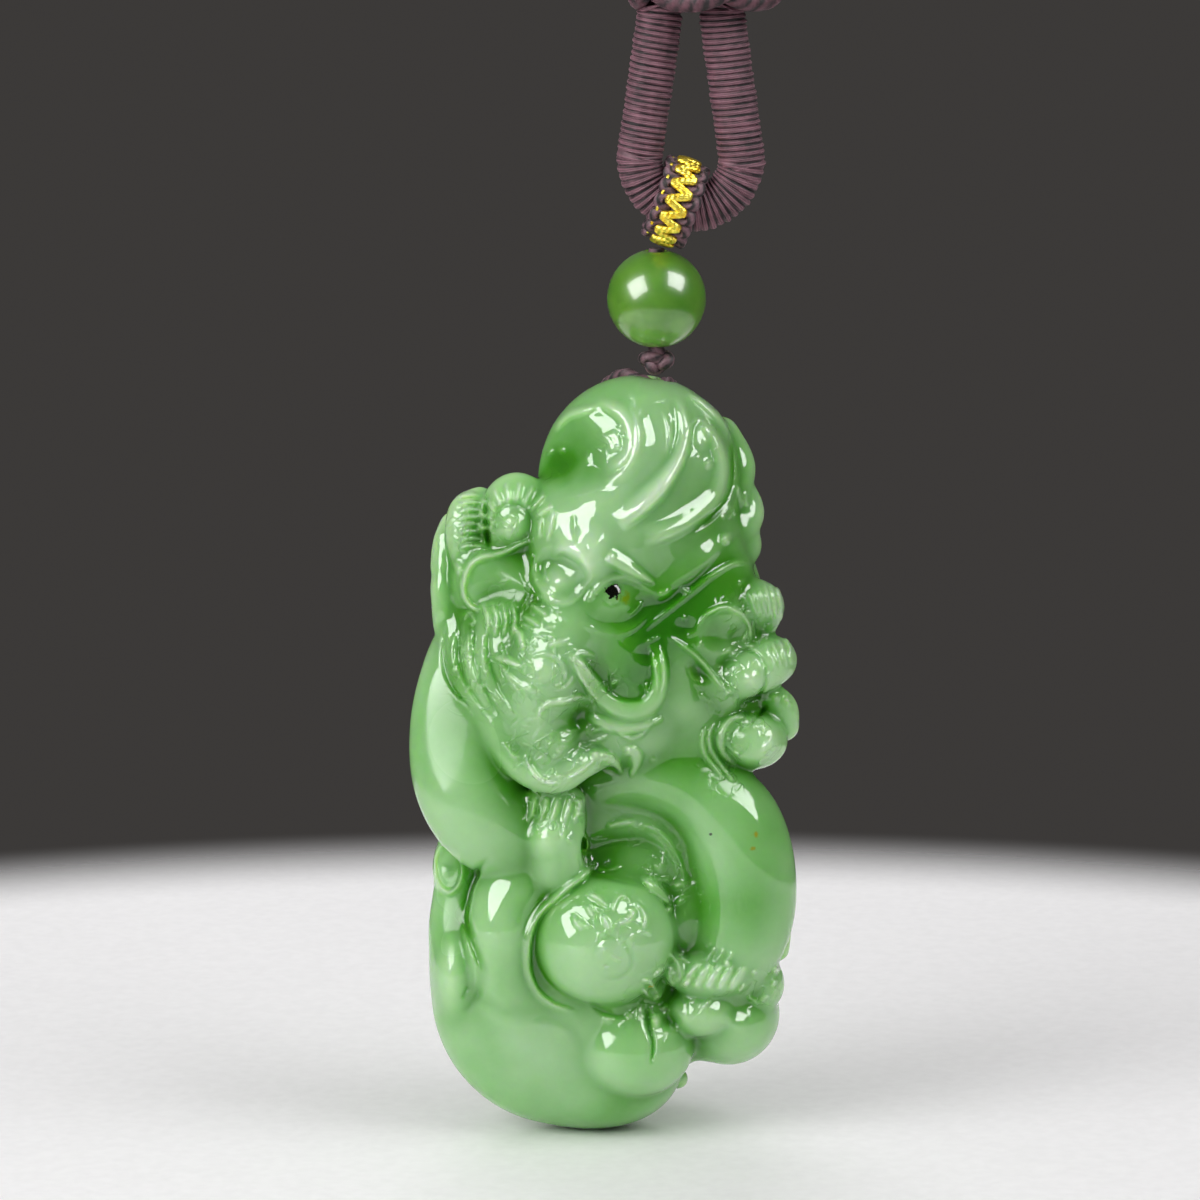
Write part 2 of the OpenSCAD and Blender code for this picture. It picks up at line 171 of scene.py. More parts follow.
def rod(points, radii, k, work=join):
    """Adds or carves a rod of changing radius along points."""
    points = np.asarray(points, np.float32)
    radii = np.asarray(radii, np.float32)
    pad = k + 1.0
    cut, x, y, z = part((points - radii[:, None]).min(0), (points + radii[:, None]).max(0), pad)
    d = np.full(np.broadcast(x, y, z).shape, FAR, np.float32)
    for i in range(len(points) - 1):
        a, b, ra, rb = points[i], points[i + 1], radii[i], radii[i + 1]
        r = max(ra, rb)
        here = within(part(np.minimum(a, b) - r, np.maximum(a, b) + r, pad)[0], cut)
        ab = b - a
        along = float(ab @ ab) + 1e-9
        dx, dy, dz = x[here[0]] - a[0], y[:, here[1]] - a[1], z[:, :, here[2]] - a[2]
        t = np.clip((dx * ab[0] + dy * ab[1] + dz * ab[2]) / along, 0, 1)
        gap = np.sqrt((dx - t * ab[0]) ** 2 + (dy - t * ab[1]) ** 2 + (dz - t * ab[2]) ** 2)
        d[here] = np.minimum(d[here], gap - (ra + t * (rb - ra)))
    work(cut, d, k)


def soften(grid, radius):
    """A grid averaged over a box of that many cells each way, twice."""
    for _ in range(2):
        for axis in range(3):
            total = np.cumsum(grid, axis=axis, dtype=np.float32)
            total = np.moveaxis(total, axis, 0)
            wide = np.empty_like(total)
            n = len(total)
            for i in range(n):
                lo, hi = max(i - radius - 1, -1), min(i + radius, n - 1)
                below = total[lo] if lo >= 0 else 0
                wide[i] = (total[hi] - below) / (hi - lo)
            grid = np.moveaxis(wide, 0, axis)
    return grid


def sample(grid, points):
    """Values of a grid at points, in mm."""
    g = (points - LOW) / STEP
    top = np.array(grid.shape) - 2
    i = np.clip(g.astype(int), 0, top)
    f = np.clip(g - i, 0, 1)
    x, y, z = i.T
    fx, fy, fz = f.T
    value = 0
    for a in (0, 1):
        for b in (0, 1):
            for c in (0, 1):
                w = (fx if a else 1 - fx) * (fy if b else 1 - fy) * (fz if c else 1 - fz)
                value = value + w * grid[x + a, y + b, z + c]
    return value


def slope(points, h):
    """Unit outward direction of the field at points, from its change over h mm each way."""
    out = np.zeros_like(points)
    for k in range(3):
        e = np.zeros(3)
        e[k] = h
        out[:, k] = sample(field, points + e) - sample(field, points - e)
    return out / (np.linalg.norm(out, axis=1, keepdims=True) + 1e-9)


def front(rows):
    """The front surface's points under rows of across and up."""
    rows = np.asarray(rows, float)[:, :2]
    # Every place on the way in, from before the front to behind the back
    outs = np.arange(122.0, -90.0, -1.0)
    n, m = len(rows), len(outs)
    every = np.concatenate([np.repeat(rows, m, 0), np.tile(outs, n)[:, None]], 1)
    values = sample(field, place(every)).reshape(n, m)
    hit = np.argmax(values < 0, axis=1)
    found = (values < 0).any(1)
    before = np.maximum(hit - 1, 0)
    lines = np.arange(n)
    v0, v1 = values[lines, before], values[lines, hit]
    out = outs[before] - np.clip(v0 / (v0 - v1 + 1e-9), 0, 1)
    if not found.any():
        out[:] = 0
    else:
        out = np.interp(lines, lines[found], out[found])
    # A long line of points doesn't follow the surface's small steps
    soft = out.copy()
    if n > 4:
        soft[1:-1] = (out[:-2] + 2 * out[1:-1] + out[2:]) / 4
    return place(np.concatenate([rows, soft[:, None]], 1))


def mass(row, k):
    """Adds an ellipsoid from a row of across, up, out and the half sizes across, out and up."""
    across, up, out, a, b, c = row
    centre = place([[across, up, out]])[0]
    ellipsoid(centre, (a / 100 * CARVING_W, b / 100 * CARVING_T / 2, c / 100 * CARVING_H), k)


def coil(rows, k):
    """Adds a rod along rows of across, up, out and radius."""
    rows = smooth_rows(rows, 6)
    rod(place(rows), rows[:, 3] / 100 * CARVING_W, k)


# Forms of the carving. Columns: across, up, out, then the half sizes across, out and up, all in
# hundredths of the carving's width, half thickness and height
MASSES = [
    # crest, face, forehead, temple, trunk, neck, ground of the foot
    (59, 86, -5, 26, 62, 14),
    (54, 72, 15, 24, 50, 14),
    (52.5, 79, 32, 21, 40, 8.6),
    (71, 73, 6, 17.5, 44, 9),
    (50, 50, -15, 38, 50, 36),
    (69, 53, 6, 18, 42, 10),
    (40, 17.5, 0, 35, 55, 18.5),
    (52, 6.5, -5, 17, 48, 6.6),
    # ground behind the curls at the left and right
    (22, 72, -6, 13.5, 36, 11),
    (80, 61, -8, 14, 36, 12),
    (82, 14.5, -8, 13.5, 46, 7),
]

# Coils of the body. Columns: across, up, out and radius
COILS = [
    [(17, 66, -14, 9), (14, 60, 2, 11), (13, 53, 17, 13), (14.5, 46, 27, 13.8), (20, 40.5, 31, 13.2),
     (29, 37, 27, 10.5), (38, 33, 15, 7)],
    [(50, 45.5, 22, 6), (62, 46.5, 24, 8.6), (74, 44.5, 22, 11), (83, 39.5, 22, 13), (86.5, 32, 22, 13.2),
     (85, 25, 20, 12.4), (77, 17, 10, 10)],
    [(38, 34.5, 22, 7.5), (30, 32, 30, 10), (25.5, 27.5, 33, 10.8), (25, 21, 30, 11), (29, 14, 20, 11)],
    [(15, 37, -10, 8), (14, 31, -4, 8), (13, 25, 5, 8.4), (15, 18, 12, 9)],
    [(62, 78, -42, 10), (42, 75, -50, 11), (25, 67, -52, 11), (25, 53, -55, 11.5), (45, 44, -60, 12),
     (68, 36, -58, 12), (72, 25, -52, 12), (56, 15, -50, 12), (38, 13, -44, 11)],
    [(80, 76, -30, 8), (84, 66, -32, 9), (82, 54, -35, 10), (72, 47, -40, 9)],
    [(20, 40, -40, 9), (30, 30, -48, 10), (30, 22, -45, 9)],
]

for row in MASSES:
    mass(row, 2.6)
for rows in COILS:
    coil(rows, 0.8)

# Bulb and lobe at the left, ball held under the paw, lower ball, swelling at the bottom right
# and the ground between the two balls
mass((24.6, 26.2, 23, 10.4, 44, 8.8), 0.5)
mass((12.2, 20.6, 4, 6.8, 44, 7.2), 0.5)
mass((50, 24.5, 45, 18.2, 46, 9.0), 0.3)
mass((57.8, 10, 26, 15.4, 42, 6.8), 0.35)
mass((82.6, 13.6, 8, 10.8, 34, 5.2), 0.4)
mass((54, 14.6, 24, 12, 32, 4.2), 1.4)

# The main forms lose the joints between their pieces before the details go on
field = soften(field, 1)

# Flat of the left coil, turned to the light
middle = place([[13.5, 51, 18]])[0]
flat_way = np.array([-0.388, -0.841, 0.375])
cut, x, y, z = part(middle - 10, middle + 10, 0)
over = (x - middle[0]) * flat_way[0] + (y - middle[1]) * flat_way[1] + (z - middle[2]) * flat_way[2]
coil_radius = 13.2 / 100 * CARVING_W
carve(cut, coil_radius - 0.2 - over, 1.4)

# Lobes of hair down the right edge, then those of the left edge
coil([(80, 92, -20, 5), (84.3, 87.8, -14, 4.8), (83, 83.5, -4, 4)], 0.4)
coil([(82, 86, -20, 5), (86.4, 81.8, -12, 5), (84, 78.8, 0, 4)], 0.4)
coil([(82, 80, -14, 6), (85.8, 77, -8, 4.8), (80, 74.6, 12, 3.6), (70, 71.8, 36, 2.2)], 0.5)
coil([(11, 80, -8, 3.4), (9.8, 77.5, -4, 4), (9.4, 74.6, -2, 4.2)], 0.5)
coil([(9.4, 74.6, 0, 3.2), (9, 71.6, 3, 3.8), (9.6, 68.6, 4, 3.8)], 0.4)
coil([(9.4, 69, 2, 3.4), (8.8, 66.8, 3, 3), (9.5, 64.8, 3, 2.6)], 0.4)

# Muzzle: one broad form from the eyes to the jaw, with the cheek on it
coil([(47, 70.5, 44, 8), (41, 66.5, 52, 10), (36, 61, 56, 11), (34, 55, 53, 10), (35, 50, 48, 8)], 1.8)
coil([(27, 71, 26, 8), (24.5, 65, 33, 9), (22, 59, 38, 8.5), (25, 53.4, 46, 6)], 1.8)
coil([(46, 66, 48, 7), (55, 66, 42, 8), (63, 67.4, 32, 8)], 1.6)
coil([(53, 67, 45, 8), (55, 62, 49, 8), (59, 57, 48, 7)], 1.8)
coil([(64, 68, 36, 8), (66, 62, 41, 8), (68, 57, 39, 7)], 1.8)
mass((73, 66.4, 36, 12, 20, 5), 2.0)
mass((55, 53, 38, 12, 26, 5), 1.4)
coil([(43, 60.4, 54, 5), (48, 57.4, 52, 5), (54, 55.6, 50, 4.4), (60, 56, 48, 4), (64, 59, 46, 3.6),
      (65, 63, 42, 3)], 1.2)
mass((56.6, 60.2, 40, 8.5, 16, 4.4), 1.4)
mass((44.4, 53.6, 46, 5.5, 11, 3.2), 1.2)

# Jaw, round the mouth
coil([(22.6, 53, 54, 3.4), (25.6, 49.6, 58, 4), (31, 47.1, 62, 4.6), (38, 46.4, 62, 4.8),
      (44, 47.8, 60, 4), (50.5, 48.9, 52, 2.6)], 0.9)

# Ear, the curls at the upper left and the mane's strands
mass((21.8, 72.9, 20, 10.4, 22, 5.2), 0.9)
mass((27.5, 81.2, 18, 9.6, 24, 5.8), 0.6)
coil([(18, 83.4, 4, 3.4), (14.6, 81.8, 10, 4.6), (13.6, 79, 14, 4.6), (14, 76.4, 16, 4)], 0.5)
coil([(13, 68, 6, 3.4), (11.4, 64.4, 12, 3.8), (11.8, 60.6, 18, 3.6), (15, 57, 28, 3)], 0.6)
coil([(17, 67.8, 18, 3.4), (15.6, 63.6, 26, 3.6), (16.4, 59.4, 32, 3.4), (19.4, 56.4, 40, 3)], 0.6)
coil([(20, 66.8, 30, 3), (19.2, 62.8, 38, 3.2), (20.2, 58.9, 44, 3), (23, 55.6, 51, 2.6)], 0.6)

# Curls down the right side: two lobes with a hollow beside them, a smooth lobe and a disc
mass((79, 65.6, 14, 10.5, 22, 5), 0.9)
coil([(82, 69.6, 18, 4), (87.4, 69.6, 16, 6), (90, 69, 6, 6.4), (90, 67.2, 4, 5)], 0.5)
coil([(66, 63.6, 36, 3), (72, 61.6, 38, 3.6), (78, 58.8, 38, 3.6), (82, 57, 34, 3)], 1.0)
coil([(82, 59.2, 30, 4.6), (86, 59.8, 31, 6), (91, 61.2, 22, 6.8), (93.4, 61.8, 12, 6.4)], 0.4)
coil([(93, 57, 10, 3.6), (96, 55.4, 6, 4), (96.4, 53, 2, 4)], 0.4)
mass((88.2, 51.1, 16, 9.2, 26, 3.9), 0.4)

# Paw over the ball: wrist and knuckles
coil([(38, 42, 42, 6.8), (38, 38, 46, 8.2), (38.5, 34.6, 42, 8.8)], 0.6)
mass((37.4, 43, 47, 7.8, 12, 2.4), 0.6)

# Soft hollow inside the right coil, with a terrace round it
ellipsoid(place([[57, 36.4, 47]])[0], (3.9, 2.2, 2.3), 1.6, carve)
coil([(47, 39.4, 22, 1.8), (53, 40, 25, 2.2), (59, 40, 27, 2.4), (64.4, 38.9, 27, 2.4), (68.4, 36, 26, 2.4),
      (70.4, 32, 24, 2.3), (70.2, 27.6, 22, 2), (68.6, 24, 20, 1.6)], 1.4)
mass((58, 33.4, 14, 12, 26, 4.6), 1.4)
mass((70.5, 27.5, 10, 5.5, 30, 6.4), 1.4)

# Paw at the lower right with its wrist, knob and fin, the small foot and the loop at the far left
mass((74.6, 14.8, 30, 9.4, 26, 3.5), 0.5)
mass((76.6, 19.6, 38, 10.6, 20, 3.1), 0.45)
mass((68.2, 20.4, 42, 3.2, 14, 2.3), 0.3)
mass((90.4, 18.4, 8, 6.2, 24, 3.8), 0.5)
coil([(97.2, 27.6, -6, 0.9), (96.6, 25.4, -2, 1.8), (95.2, 22.8, 2, 2.6)], 0.4)
mass((62.4, 17.8, 38, 3.6, 14, 1.7), 0.4)
coil([(66, 6, -16, 3.2), (69, 5.6, -18, 2.8)], 0.3)
coil([(9.6, 36.4, -18, 1.3), (8.4, 33.6, -18, 1.4), (9.8, 31, -15, 1.4), (13, 31, -10, 1.4),
      (14, 34, -10, 1.3), (12, 36.8, -12, 1.2)], 0.2)

# Hair lobes, muzzle, curls and paws lose their joints too
field = soften(field, 1)


def stroke(points, half, height, edges=(1, 1), ends=0.25):
    """A low ridge along the front surface, or a groove where its height in mm is below zero. half is
    its half width at the start, the middle and the end, in hundredths of the carving's width. edges
    is the share of the half width over which it rises on its left and on its right, and ends the
    share of its length over which it rises at each end."""
    deep = 2.2
    rows = smooth_rows(points, 5)
    on = front(rows)
    n = len(rows)
    t = np.linspace(0, 1, n)
    half = np.interp(t, [0, 0.5, 1], np.broadcast_to(half, 3)) / 100 * CARVING_W
    tall = height * ease(np.minimum(t, 1 - t) / ends + 0.05)
    u, v = seen(rows)
    big = np.array([half.max(), deep, half.max()])
    cut, x, y, z = part(on.min(0) - big, on.max(0) + big, 0.3)
    shape = np.broadcast(x, y, z).shape
    us, vs = (np.broadcast_to(a, shape) for a in screen(x, y, z))
    near = np.full(shape, 50.0, np.float32)
    lift = np.zeros(shape, np.float32)
    for i in range(n - 1):
        box = part(np.minimum(on[i], on[i + 1]) - big, np.maximum(on[i], on[i + 1]) + big, 0.2)[0]
        here = within(box, cut)
        du, dv = us[here] - u[i], vs[here] - v[i]
        au, av = u[i + 1] - u[i], v[i + 1] - v[i]
        s = np.clip((du * au + dv * av) / (au * au + av * av + 1e-9), 0, 1)
        gap = np.hypot(du - s * au, dv - s * av)
        share = gap / (half[i] + s * (half[i + 1] - half[i])) * np.where(au * dv - av * du > 0, -1, 1)
        rise = ease((1 + share) / edges[0]) * ease((1 - share) / edges[1])
        off = np.abs(y[:, here[1]] - on[i, 1] - s * (on[i + 1, 1] - on[i, 1]))
        rise = rise * ease((deep - off) / (deep - 1.0)) * (tall[i] + s * (tall[i + 1] - tall[i]))
        closer = gap < near[here]
        near[here] = np.where(closer, gap, near[here])
        lift[here] = np.where(closer, rise, lift[here])
    field[cut] -= lift


def press(across, up, half, height, edge=1.0, turn=0.0, deep=3.0):
    """A low dome on the front surface, or a dish where its height in mm is below zero. half is its
    half sizes in hundredths of the carving's width, edge the share of them over which it rises, turn
    its roll in degrees, and deep how far in mm it reaches behind and before the surface."""
    on = front([[across, up]])[0]
    u, v = seen([[across, up]])
    a, c = (h / 100 * CARVING_W for h in half)
    big = np.array([max(a, c), deep, max(a, c)])
    cut, x, y, z = part(on - big, on + big, 0.2)
    us, vs = screen(x, y, z)
    du, dv = us - u, vs - v
    co, si = math.cos(math.radians(turn)), math.sin(math.radians(turn))
    r = np.hypot((co * du + si * dv) / a, (co * dv - si * du) / c)
    field[cut] -= height * ease((1 - r) / edge) * ease((deep - np.abs(y - on[1])) / (deep - 1.5))


def row_of(first, last, count, half, height, edges=(1, 1)):
    """Strokes side by side, from one line of points to another."""
    first, last = np.asarray(first, float), np.asarray(last, float)
    for t in np.linspace(0, 1, count):
        stroke(first + (last - first) * t, half, height, edges)


def strokes(half, height, *lines):
    """Strokes of one width and height along several lines of points."""
    for points in lines:
        stroke(points, half, height)


def presses(half, height, edge, *spots):
    """Presses of one size and height at several places of across, up and turn."""
    for across, up, turn in spots:
        press(across, up, half, height, edge, turn)


# Crest: the scoop at its left, its rim and ribs, and the lip of hair round it
press(42.5, 89.6, (13.5, 12.5), -1.1, 1.0, deep=6)
press(38, 88, (7, 7), -0.5, 1.0)
stroke([(36.6, 92.4), (40.4, 94.6), (44.5, 95.4), (49, 96)], (1.4, 2, 1.4), 0.35)
stroke([(47, 96.4), (51.6, 95.9), (55.2, 94.6), (57.2, 92.4), (57, 90.2), (54.6, 88.5), (50, 87.3)],
       (2, 4, 2), 0.6)
row_of([(49.6, 92.2), (51.2, 91.2), (51.8, 89.6)], [(52, 92.8), (53.6, 91.4), (53.8, 89.8)], 3, 0.9, 0.25)
stroke([(57.6, 96.6), (59.6, 94.6), (60.6, 91.8), (60.2, 89.4), (57.6, 87.4), (53.4, 86), (50, 85.2)],
       (2, 3.2, 1.2), 0.34, (1.6, 0.35), 0.2)
stroke([(52, 85.5), (46, 84.3), (40, 83.6)], 0.5, 0.08)
press(39, 90, (1.6, 1), 0.2)
press(36, 89.8, (1.4, 1), 0.2)
press(45.8, 89, (0.9, 2.2), 0.2)

# Crest: the swept locks, their valleys and the rim along the top right
stroke([(64.8, 95.6), (66.4, 93.4), (66.8, 91), (65.6, 88.8)], (0.5, 1, 0.5), 0.2)
stroke([(67.8, 97), (68.8, 93.8), (68.2, 90.8), (65.8, 88), (61.6, 85.8), (54, 83.6)], (1.2, 2.4, 2.4),
       -0.2)
stroke([(68.8, 97.4), (70.6, 94), (70.5, 91.8), (68.4, 88.8), (64.6, 85.4), (60, 83), (55.6, 81.2),
        (53.4, 80.2)], (1.6, 3, 3.6), 0.25, (0.6, 1.2), 0.12)
stroke([(71.6, 92.8), (70, 90), (67, 87.4), (63.4, 85), (59.4, 82.9), (56, 81.4), (52.4, 79.8)],
       (1.4, 3.8, 3.4), 0.75, (0.5, 1.3), 0.5)
stroke([(74.4, 94.4), (77.8, 92.2), (80, 89.4), (80.4, 87), (79.2, 84.4), (76, 82.5), (71, 80.6),
        (65.5, 79.2), (60, 78.4)], (1.8, 3.2, 3.6), 0.5, (0.6, 1.2), 0.12)
stroke([(79, 95), (82.2, 91.4), (83, 87.4), (81.6, 83.8), (77.4, 81), (71, 78.6)], (0.8, 1.5, 1.2), -0.28)
stroke([(71.2, 97.8), (75, 96.5), (78.6, 94.8), (81.2, 92.8), (82.6, 90.2)], (0.9, 1.9, 1), 0.4, (0.7, 1))
press(75.4, 91.8, (2.6, 3.8), 0.22, 0.5)
stroke([(71.9, 92.2), (72.4, 93.4), (74.4, 94.2), (76.4, 93.6)], 0.6, 0.18)
press(77, 88.2, (1.4, 1.8), 0.25, 0.8)
strokes(0.6, 0.2, [(80.4, 80.7), (82.9, 82.7)], [(82, 80.7), (83.8, 82.3)])
row_of([(84.4, 85.4), (85.6, 83)], [(86.6, 84.6), (87, 82.4)], 2, 0.8, 0.25)

# Brow between the eyes: two domes, two dishes over them, a crease, and the slivers at its left
press(46.6, 75.6, (7.9, 11), 1.1, 1.0)
press(40.8, 77.4, (5.5, 7), 0.5, 1.0)
press(41, 84.4, (8.4, 7.4), -0.4, 1.0)
press(48.6, 86, (7, 7), -0.35, 1.0)
stroke([(42.2, 81.6), (42.4, 79.6), (42.6, 77.4)], (0.6, 1.2, 0.6), -0.16)
stroke([(33.8, 81), (33.4, 79.6), (33.4, 78.2)], (0.4, 0.9, 0.4), 0.35)
stroke([(37, 82), (36.3, 80), (35.3, 77.8)], (0.5, 1.4, 0.5), 0.4)

# Left eye's ball in its socket, with a thick lid below it and a brow above it
press(39.8, 73.6, (8.4, 8.2), -0.32, 0.5)
press(37.8, 72.3, (8.6, 7), 1.0, 1.0)
stroke([(33.4, 76.6), (32.6, 74.6), (33.1, 72.7), (34.8, 71.3), (37.4, 70.2), (40.4, 70), (43, 70.9),
        (45.4, 72.4), (47.8, 73.5)], (1, 2.2, 1), 0.25, (1.5, 0.5), 0.15)
stroke([(35.3, 75.2), (34.9, 73.7), (35.6, 72.2)], 0.5, 0.2)
stroke([(36.4, 75.6), (38.6, 76.8), (41.4, 76.8), (44.2, 75.9), (46.2, 74.4), (47, 72.6)],
       (1.2, 2.6, 1.6), 0.5, (1.3, 0.6))

# Right eye: the bulge, the lids round it and the brow
press(52.6, 69.8, (9, 6), 0.45, 1.0)
stroke([(44.6, 69.4), (47.6, 71.3), (51, 72.7), (54.6, 73.1), (58.4, 72.5), (62.4, 71.2)],
       (0.8, 1.6, 0.8), 0.26, (1.2, 0.6))
stroke([(49.6, 71.2), (51, 72.2), (53.4, 72), (54.6, 70.8), (53.8, 69.6), (51.4, 69.2), (49.8, 70),
        (49.6, 71.2)], 0.5, -0.12)
stroke([(44, 68.6), (47.4, 67.3), (52, 66.8), (56.6, 67.3), (60.4, 69.6)], (0.5, 0.9, 0.5), -0.07)
stroke([(43.4, 67), (48, 65.9), (53.4, 65.5), (58.6, 66.6), (62.8, 69.2)], (0.8, 1.6, 0.8), 0.12,
       (1.2, 0.6))
press(46.6, 70.2, (1.7, 0.9), 0.2, 0.9, 25)
stroke([(56.2, 67.8), (58.2, 68.6), (60, 69.9)], 0.6, 0.22)
stroke([(51, 76), (54, 75.1), (58, 73.8), (63, 72.2)], (2.6, 2.6, 0.6), 0.55, (1.1, 0.5), 0.12)

# Temple: the swept hair's lower edge, the valley under it and the ridge of the lobe below
stroke([(57, 70.6), (60.6, 71.4), (65, 72), (70, 73.7), (75, 75.9), (80, 78.4), (85.6, 80.6)], (2, 4, 3),
       0.24, (1.6, 0.5))
stroke([(57, 68.2), (63, 68.9), (70, 70.9), (76, 73.3), (82, 75.4), (88, 76.4)], (2, 4, 2.4), -0.14)
press(65.4, 70.6, (3.4, 1.6), 0.35, 0.9, 25)
press(70.8, 71.2, (1.6, 0.9), 0.3, 0.9, -30)
press(81.6, 78.2, (2.2, 1.9), 0.4, 0.9, 25)
stroke([(59, 65.2), (66, 68.2), (72, 70.6), (78, 73.1), (84, 74.8), (88, 74.4)], (0.7, 1.3, 0.8), 0.26,
       (0.6, 1.2))
press(71, 66, (4.6, 4.6), -0.25)
press(70.6, 67.5, (1.1, 0.9), 0.25)

# Ear: a shallow leaf in a thin bright rim
press(22.4, 72.8, (9, 7.4), -0.2, 1.0)
press(23, 70.6, (8, 5), -0.45, 1.0)
stroke([(31.4, 78), (28, 77.3), (25, 76.5), (22, 76), (19.4, 75.8), (17, 75.3), (15.1, 74.3), (14, 72.9),
        (13.6, 71.4), (14.2, 70), (16, 68.9), (18.4, 68.6)], (0.8, 1.1, 0.7), 0.5, (0.7, 0.7), 0.1)
press(12.4, 74.2, (1.3, 2.8), 0.35, 0.9, 12)
stroke([(27.4, 68), (29.2, 69.4), (31, 71)], 0.5, -0.12)

# Curl at the upper left: ribs round a dome, and the ridged lobe beside it
press(26.4, 79.6, (4.6, 4.8), 0.6, 0.8)
for turn in range(25, 186, 20):
    co, si = math.cos(math.radians(turn)), math.sin(math.radians(turn)) * 0.52
    stroke([(27 + 5.8 * co, 79.8 + 5.8 * si), (27.2 + 8 * co, 80 + 8.4 * si),
            (27.4 + 10.4 * co, 80.2 + 11 * si)], (0.7, 1.1, 0.8), 0.34)
stroke([(22, 78.2), (21.6, 80.2), (22.8, 82), (26, 82.9), (29.6, 82.2), (31.2, 80.4), (31, 78.6)], 0.8,
       -0.25)
for i in range(8):
    up = 84.1 - 0.98 * i
    stroke([(12 + 0.1 * i, up - 0.5), (15, up), (18.2 + 0.1 * i, up - 0.1)], (0.6, 0.95, 0.5), 0.42,
           ends=0.3)
stroke([(20, 84.6), (19.6, 81.6), (20, 78.6), (20.4, 76.8)], (1, 1.3, 0.8), -0.5)

# Folds and creases over the snout
for points, half, height in (
        ([(32.6, 70.6), (34.8, 70), (36.6, 69.2)], 0.6, 0.22),
        ([(31.2, 69.3), (33, 68.7), (35.6, 67.7)], (0.5, 1.1, 0.5), 0.38),
        ([(29, 67.8), (31, 67.2), (33.6, 66.2)], (0.6, 1.1, 0.5), 0.38),
        ([(28.4, 66.8), (30.4, 66.3), (32.6, 65.7)], 0.5, 0.2),
        ([(26.4, 66.4), (28.1, 65.2), (29.2, 63)], (0.8, 1.8, 0.6), 0.5),
        ([(33.4, 65.3), (35.2, 65.1), (37, 64.8)], 0.6, 0.25),
        ([(34.6, 66.3), (36, 66.3), (37.4, 66.2)], 0.7, 0.25),
        ([(35.2, 63.7), (38, 64.2), (41.2, 64.6)], (0.5, 1.2, 0.5), 0.35),
        ([(43, 62.7), (45.4, 62.7), (48, 62.3)], (0.5, 0.9, 0.4), 0.28),
        ([(37.4, 68), (38.8, 68.4)], 0.7, 0.25),
        ([(38.6, 67.6), (40.4, 67)], 0.5, 0.16)):
    stroke(points, half, height)

# Nose: the low round of the nostril and its lines, the cheek's wedge and the long creases beside it
press(34.8, 60.1, (6, 5), 0.3, 0.9)
stroke([(30, 61.6), (32, 62.4), (35, 62.7), (38, 62), (39.9, 60.7), (40, 59.2), (38, 58.1)],
       (0.4, 0.8, 0.4), 0.22)
stroke([(31.4, 59.8), (33, 58.8), (35.4, 58.6), (37.4, 59.6), (37.2, 60.9)], 0.5, -0.16)
presses((0.9, 0.6), 0.14, 0.9, (34.5, 61.4, -20), (37, 61.1, -20), (33, 59.4, -20), (33.2, 58.7, -20))
stroke([(22, 62.4), (25, 61.9), (28.8, 60.9)], (1.2, 1.5, 0.5), 0.5, (1.2, 0.5))
stroke([(22.4, 61.6), (24.6, 60), (26.6, 58.5), (28.8, 57.1)], (0.4, 0.7, 0.4), 0.32)
stroke([(24, 61), (26, 59.6), (28.4, 58.4), (31, 57.6), (34.2, 57)], (0.4, 0.7, 0.4), 0.26)
stroke([(28.6, 58.8), (31.2, 58), (34, 57.2)], 0.5, 0.22)
stroke([(23.4, 64.2), (23.6, 63.2), (24.4, 62.4)], 0.6, 0.25)
stroke([(36.6, 57.7), (39.4, 57.9), (41.6, 59), (42.2, 60)], (0.4, 0.8, 0.6), 0.28)
stroke([(39.8, 60.2), (40.4, 59.4)], 0.6, 0.2)

# Dish behind the whisker, then the whisker: a flat ribbon that sweeps right and turns up
press(56.8, 59, (6.6, 5), -0.15, 1.0)
press(61, 62.6, (4, 3), -0.15)
stroke([(41.6, 63.2), (43.6, 61.2), (46.2, 59), (49.4, 56.9), (53, 55.5), (57.5, 55), (61.4, 55.6),
        (63.9, 57.4), (64.5, 59.8), (64, 62), (62.6, 64.4)], (1.8, 3.1, 2), 0.6, (0.5, 0.5), 0.16)
stroke([(41.6, 62.5), (45, 61), (48, 59.3), (51.2, 57.7)], (0.5, 1.1, 0.6), 0.3)
stroke([(42.6, 60.2), (45, 58.6), (46.6, 56.6), (47.6, 54.8)], 0.5, 0.24)
stroke([(43.6, 60), (46.2, 58.2), (48.4, 56), (50, 54.6)], 0.5, 0.2)
stroke([(62.2, 62.6), (63.1, 60.8), (63.9, 59), (63.6, 57.2)], (0.4, 0.7, 0.4), 0.24)
stroke([(65, 63.4), (65.5, 61.2), (65.4, 59), (64.3, 56.7)], (0.5, 1.0, 0.5), 0.32)
stroke([(51.8, 58.4), (53.6, 59)], 0.6, 0.2)
stroke([(61.2, 59), (61, 57.8), (61.6, 57.2)], 0.6, 0.24)
stroke([(60.6, 64.2), (62.4, 64.6), (64.6, 65.1)], 0.5, 0.25)

# Band under the whisker
stroke([(45.6, 54.8), (50, 53.6), (55, 53), (60, 53.2), (63.8, 54.4)], (1.6, 2.6, 1.2), 0.5, (1.2, 0.4))
stroke([(46.6, 52), (49.4, 52.6), (52.4, 52.1)], (0.4, 0.9, 0.4), 0.35)
stroke([(52.6, 52.3), (55, 51.6), (57.6, 51.3), (60.4, 52), (62.8, 53.5)], (0.4, 1.0, 0.4), 0.35)
stroke([(46.8, 51.4), (45.9, 52.3), (47, 53.2), (49.4, 53)], 0.5, 0.18)
strokes(0.5, 0.2, [(47, 50.9), (49.4, 51.2), (51.6, 51.8)], [(43.8, 50.5), (45.8, 50.3), (47.2, 51)])
stroke([(62.8, 53.2), (65.2, 54.1)], 0.9, 0.35)

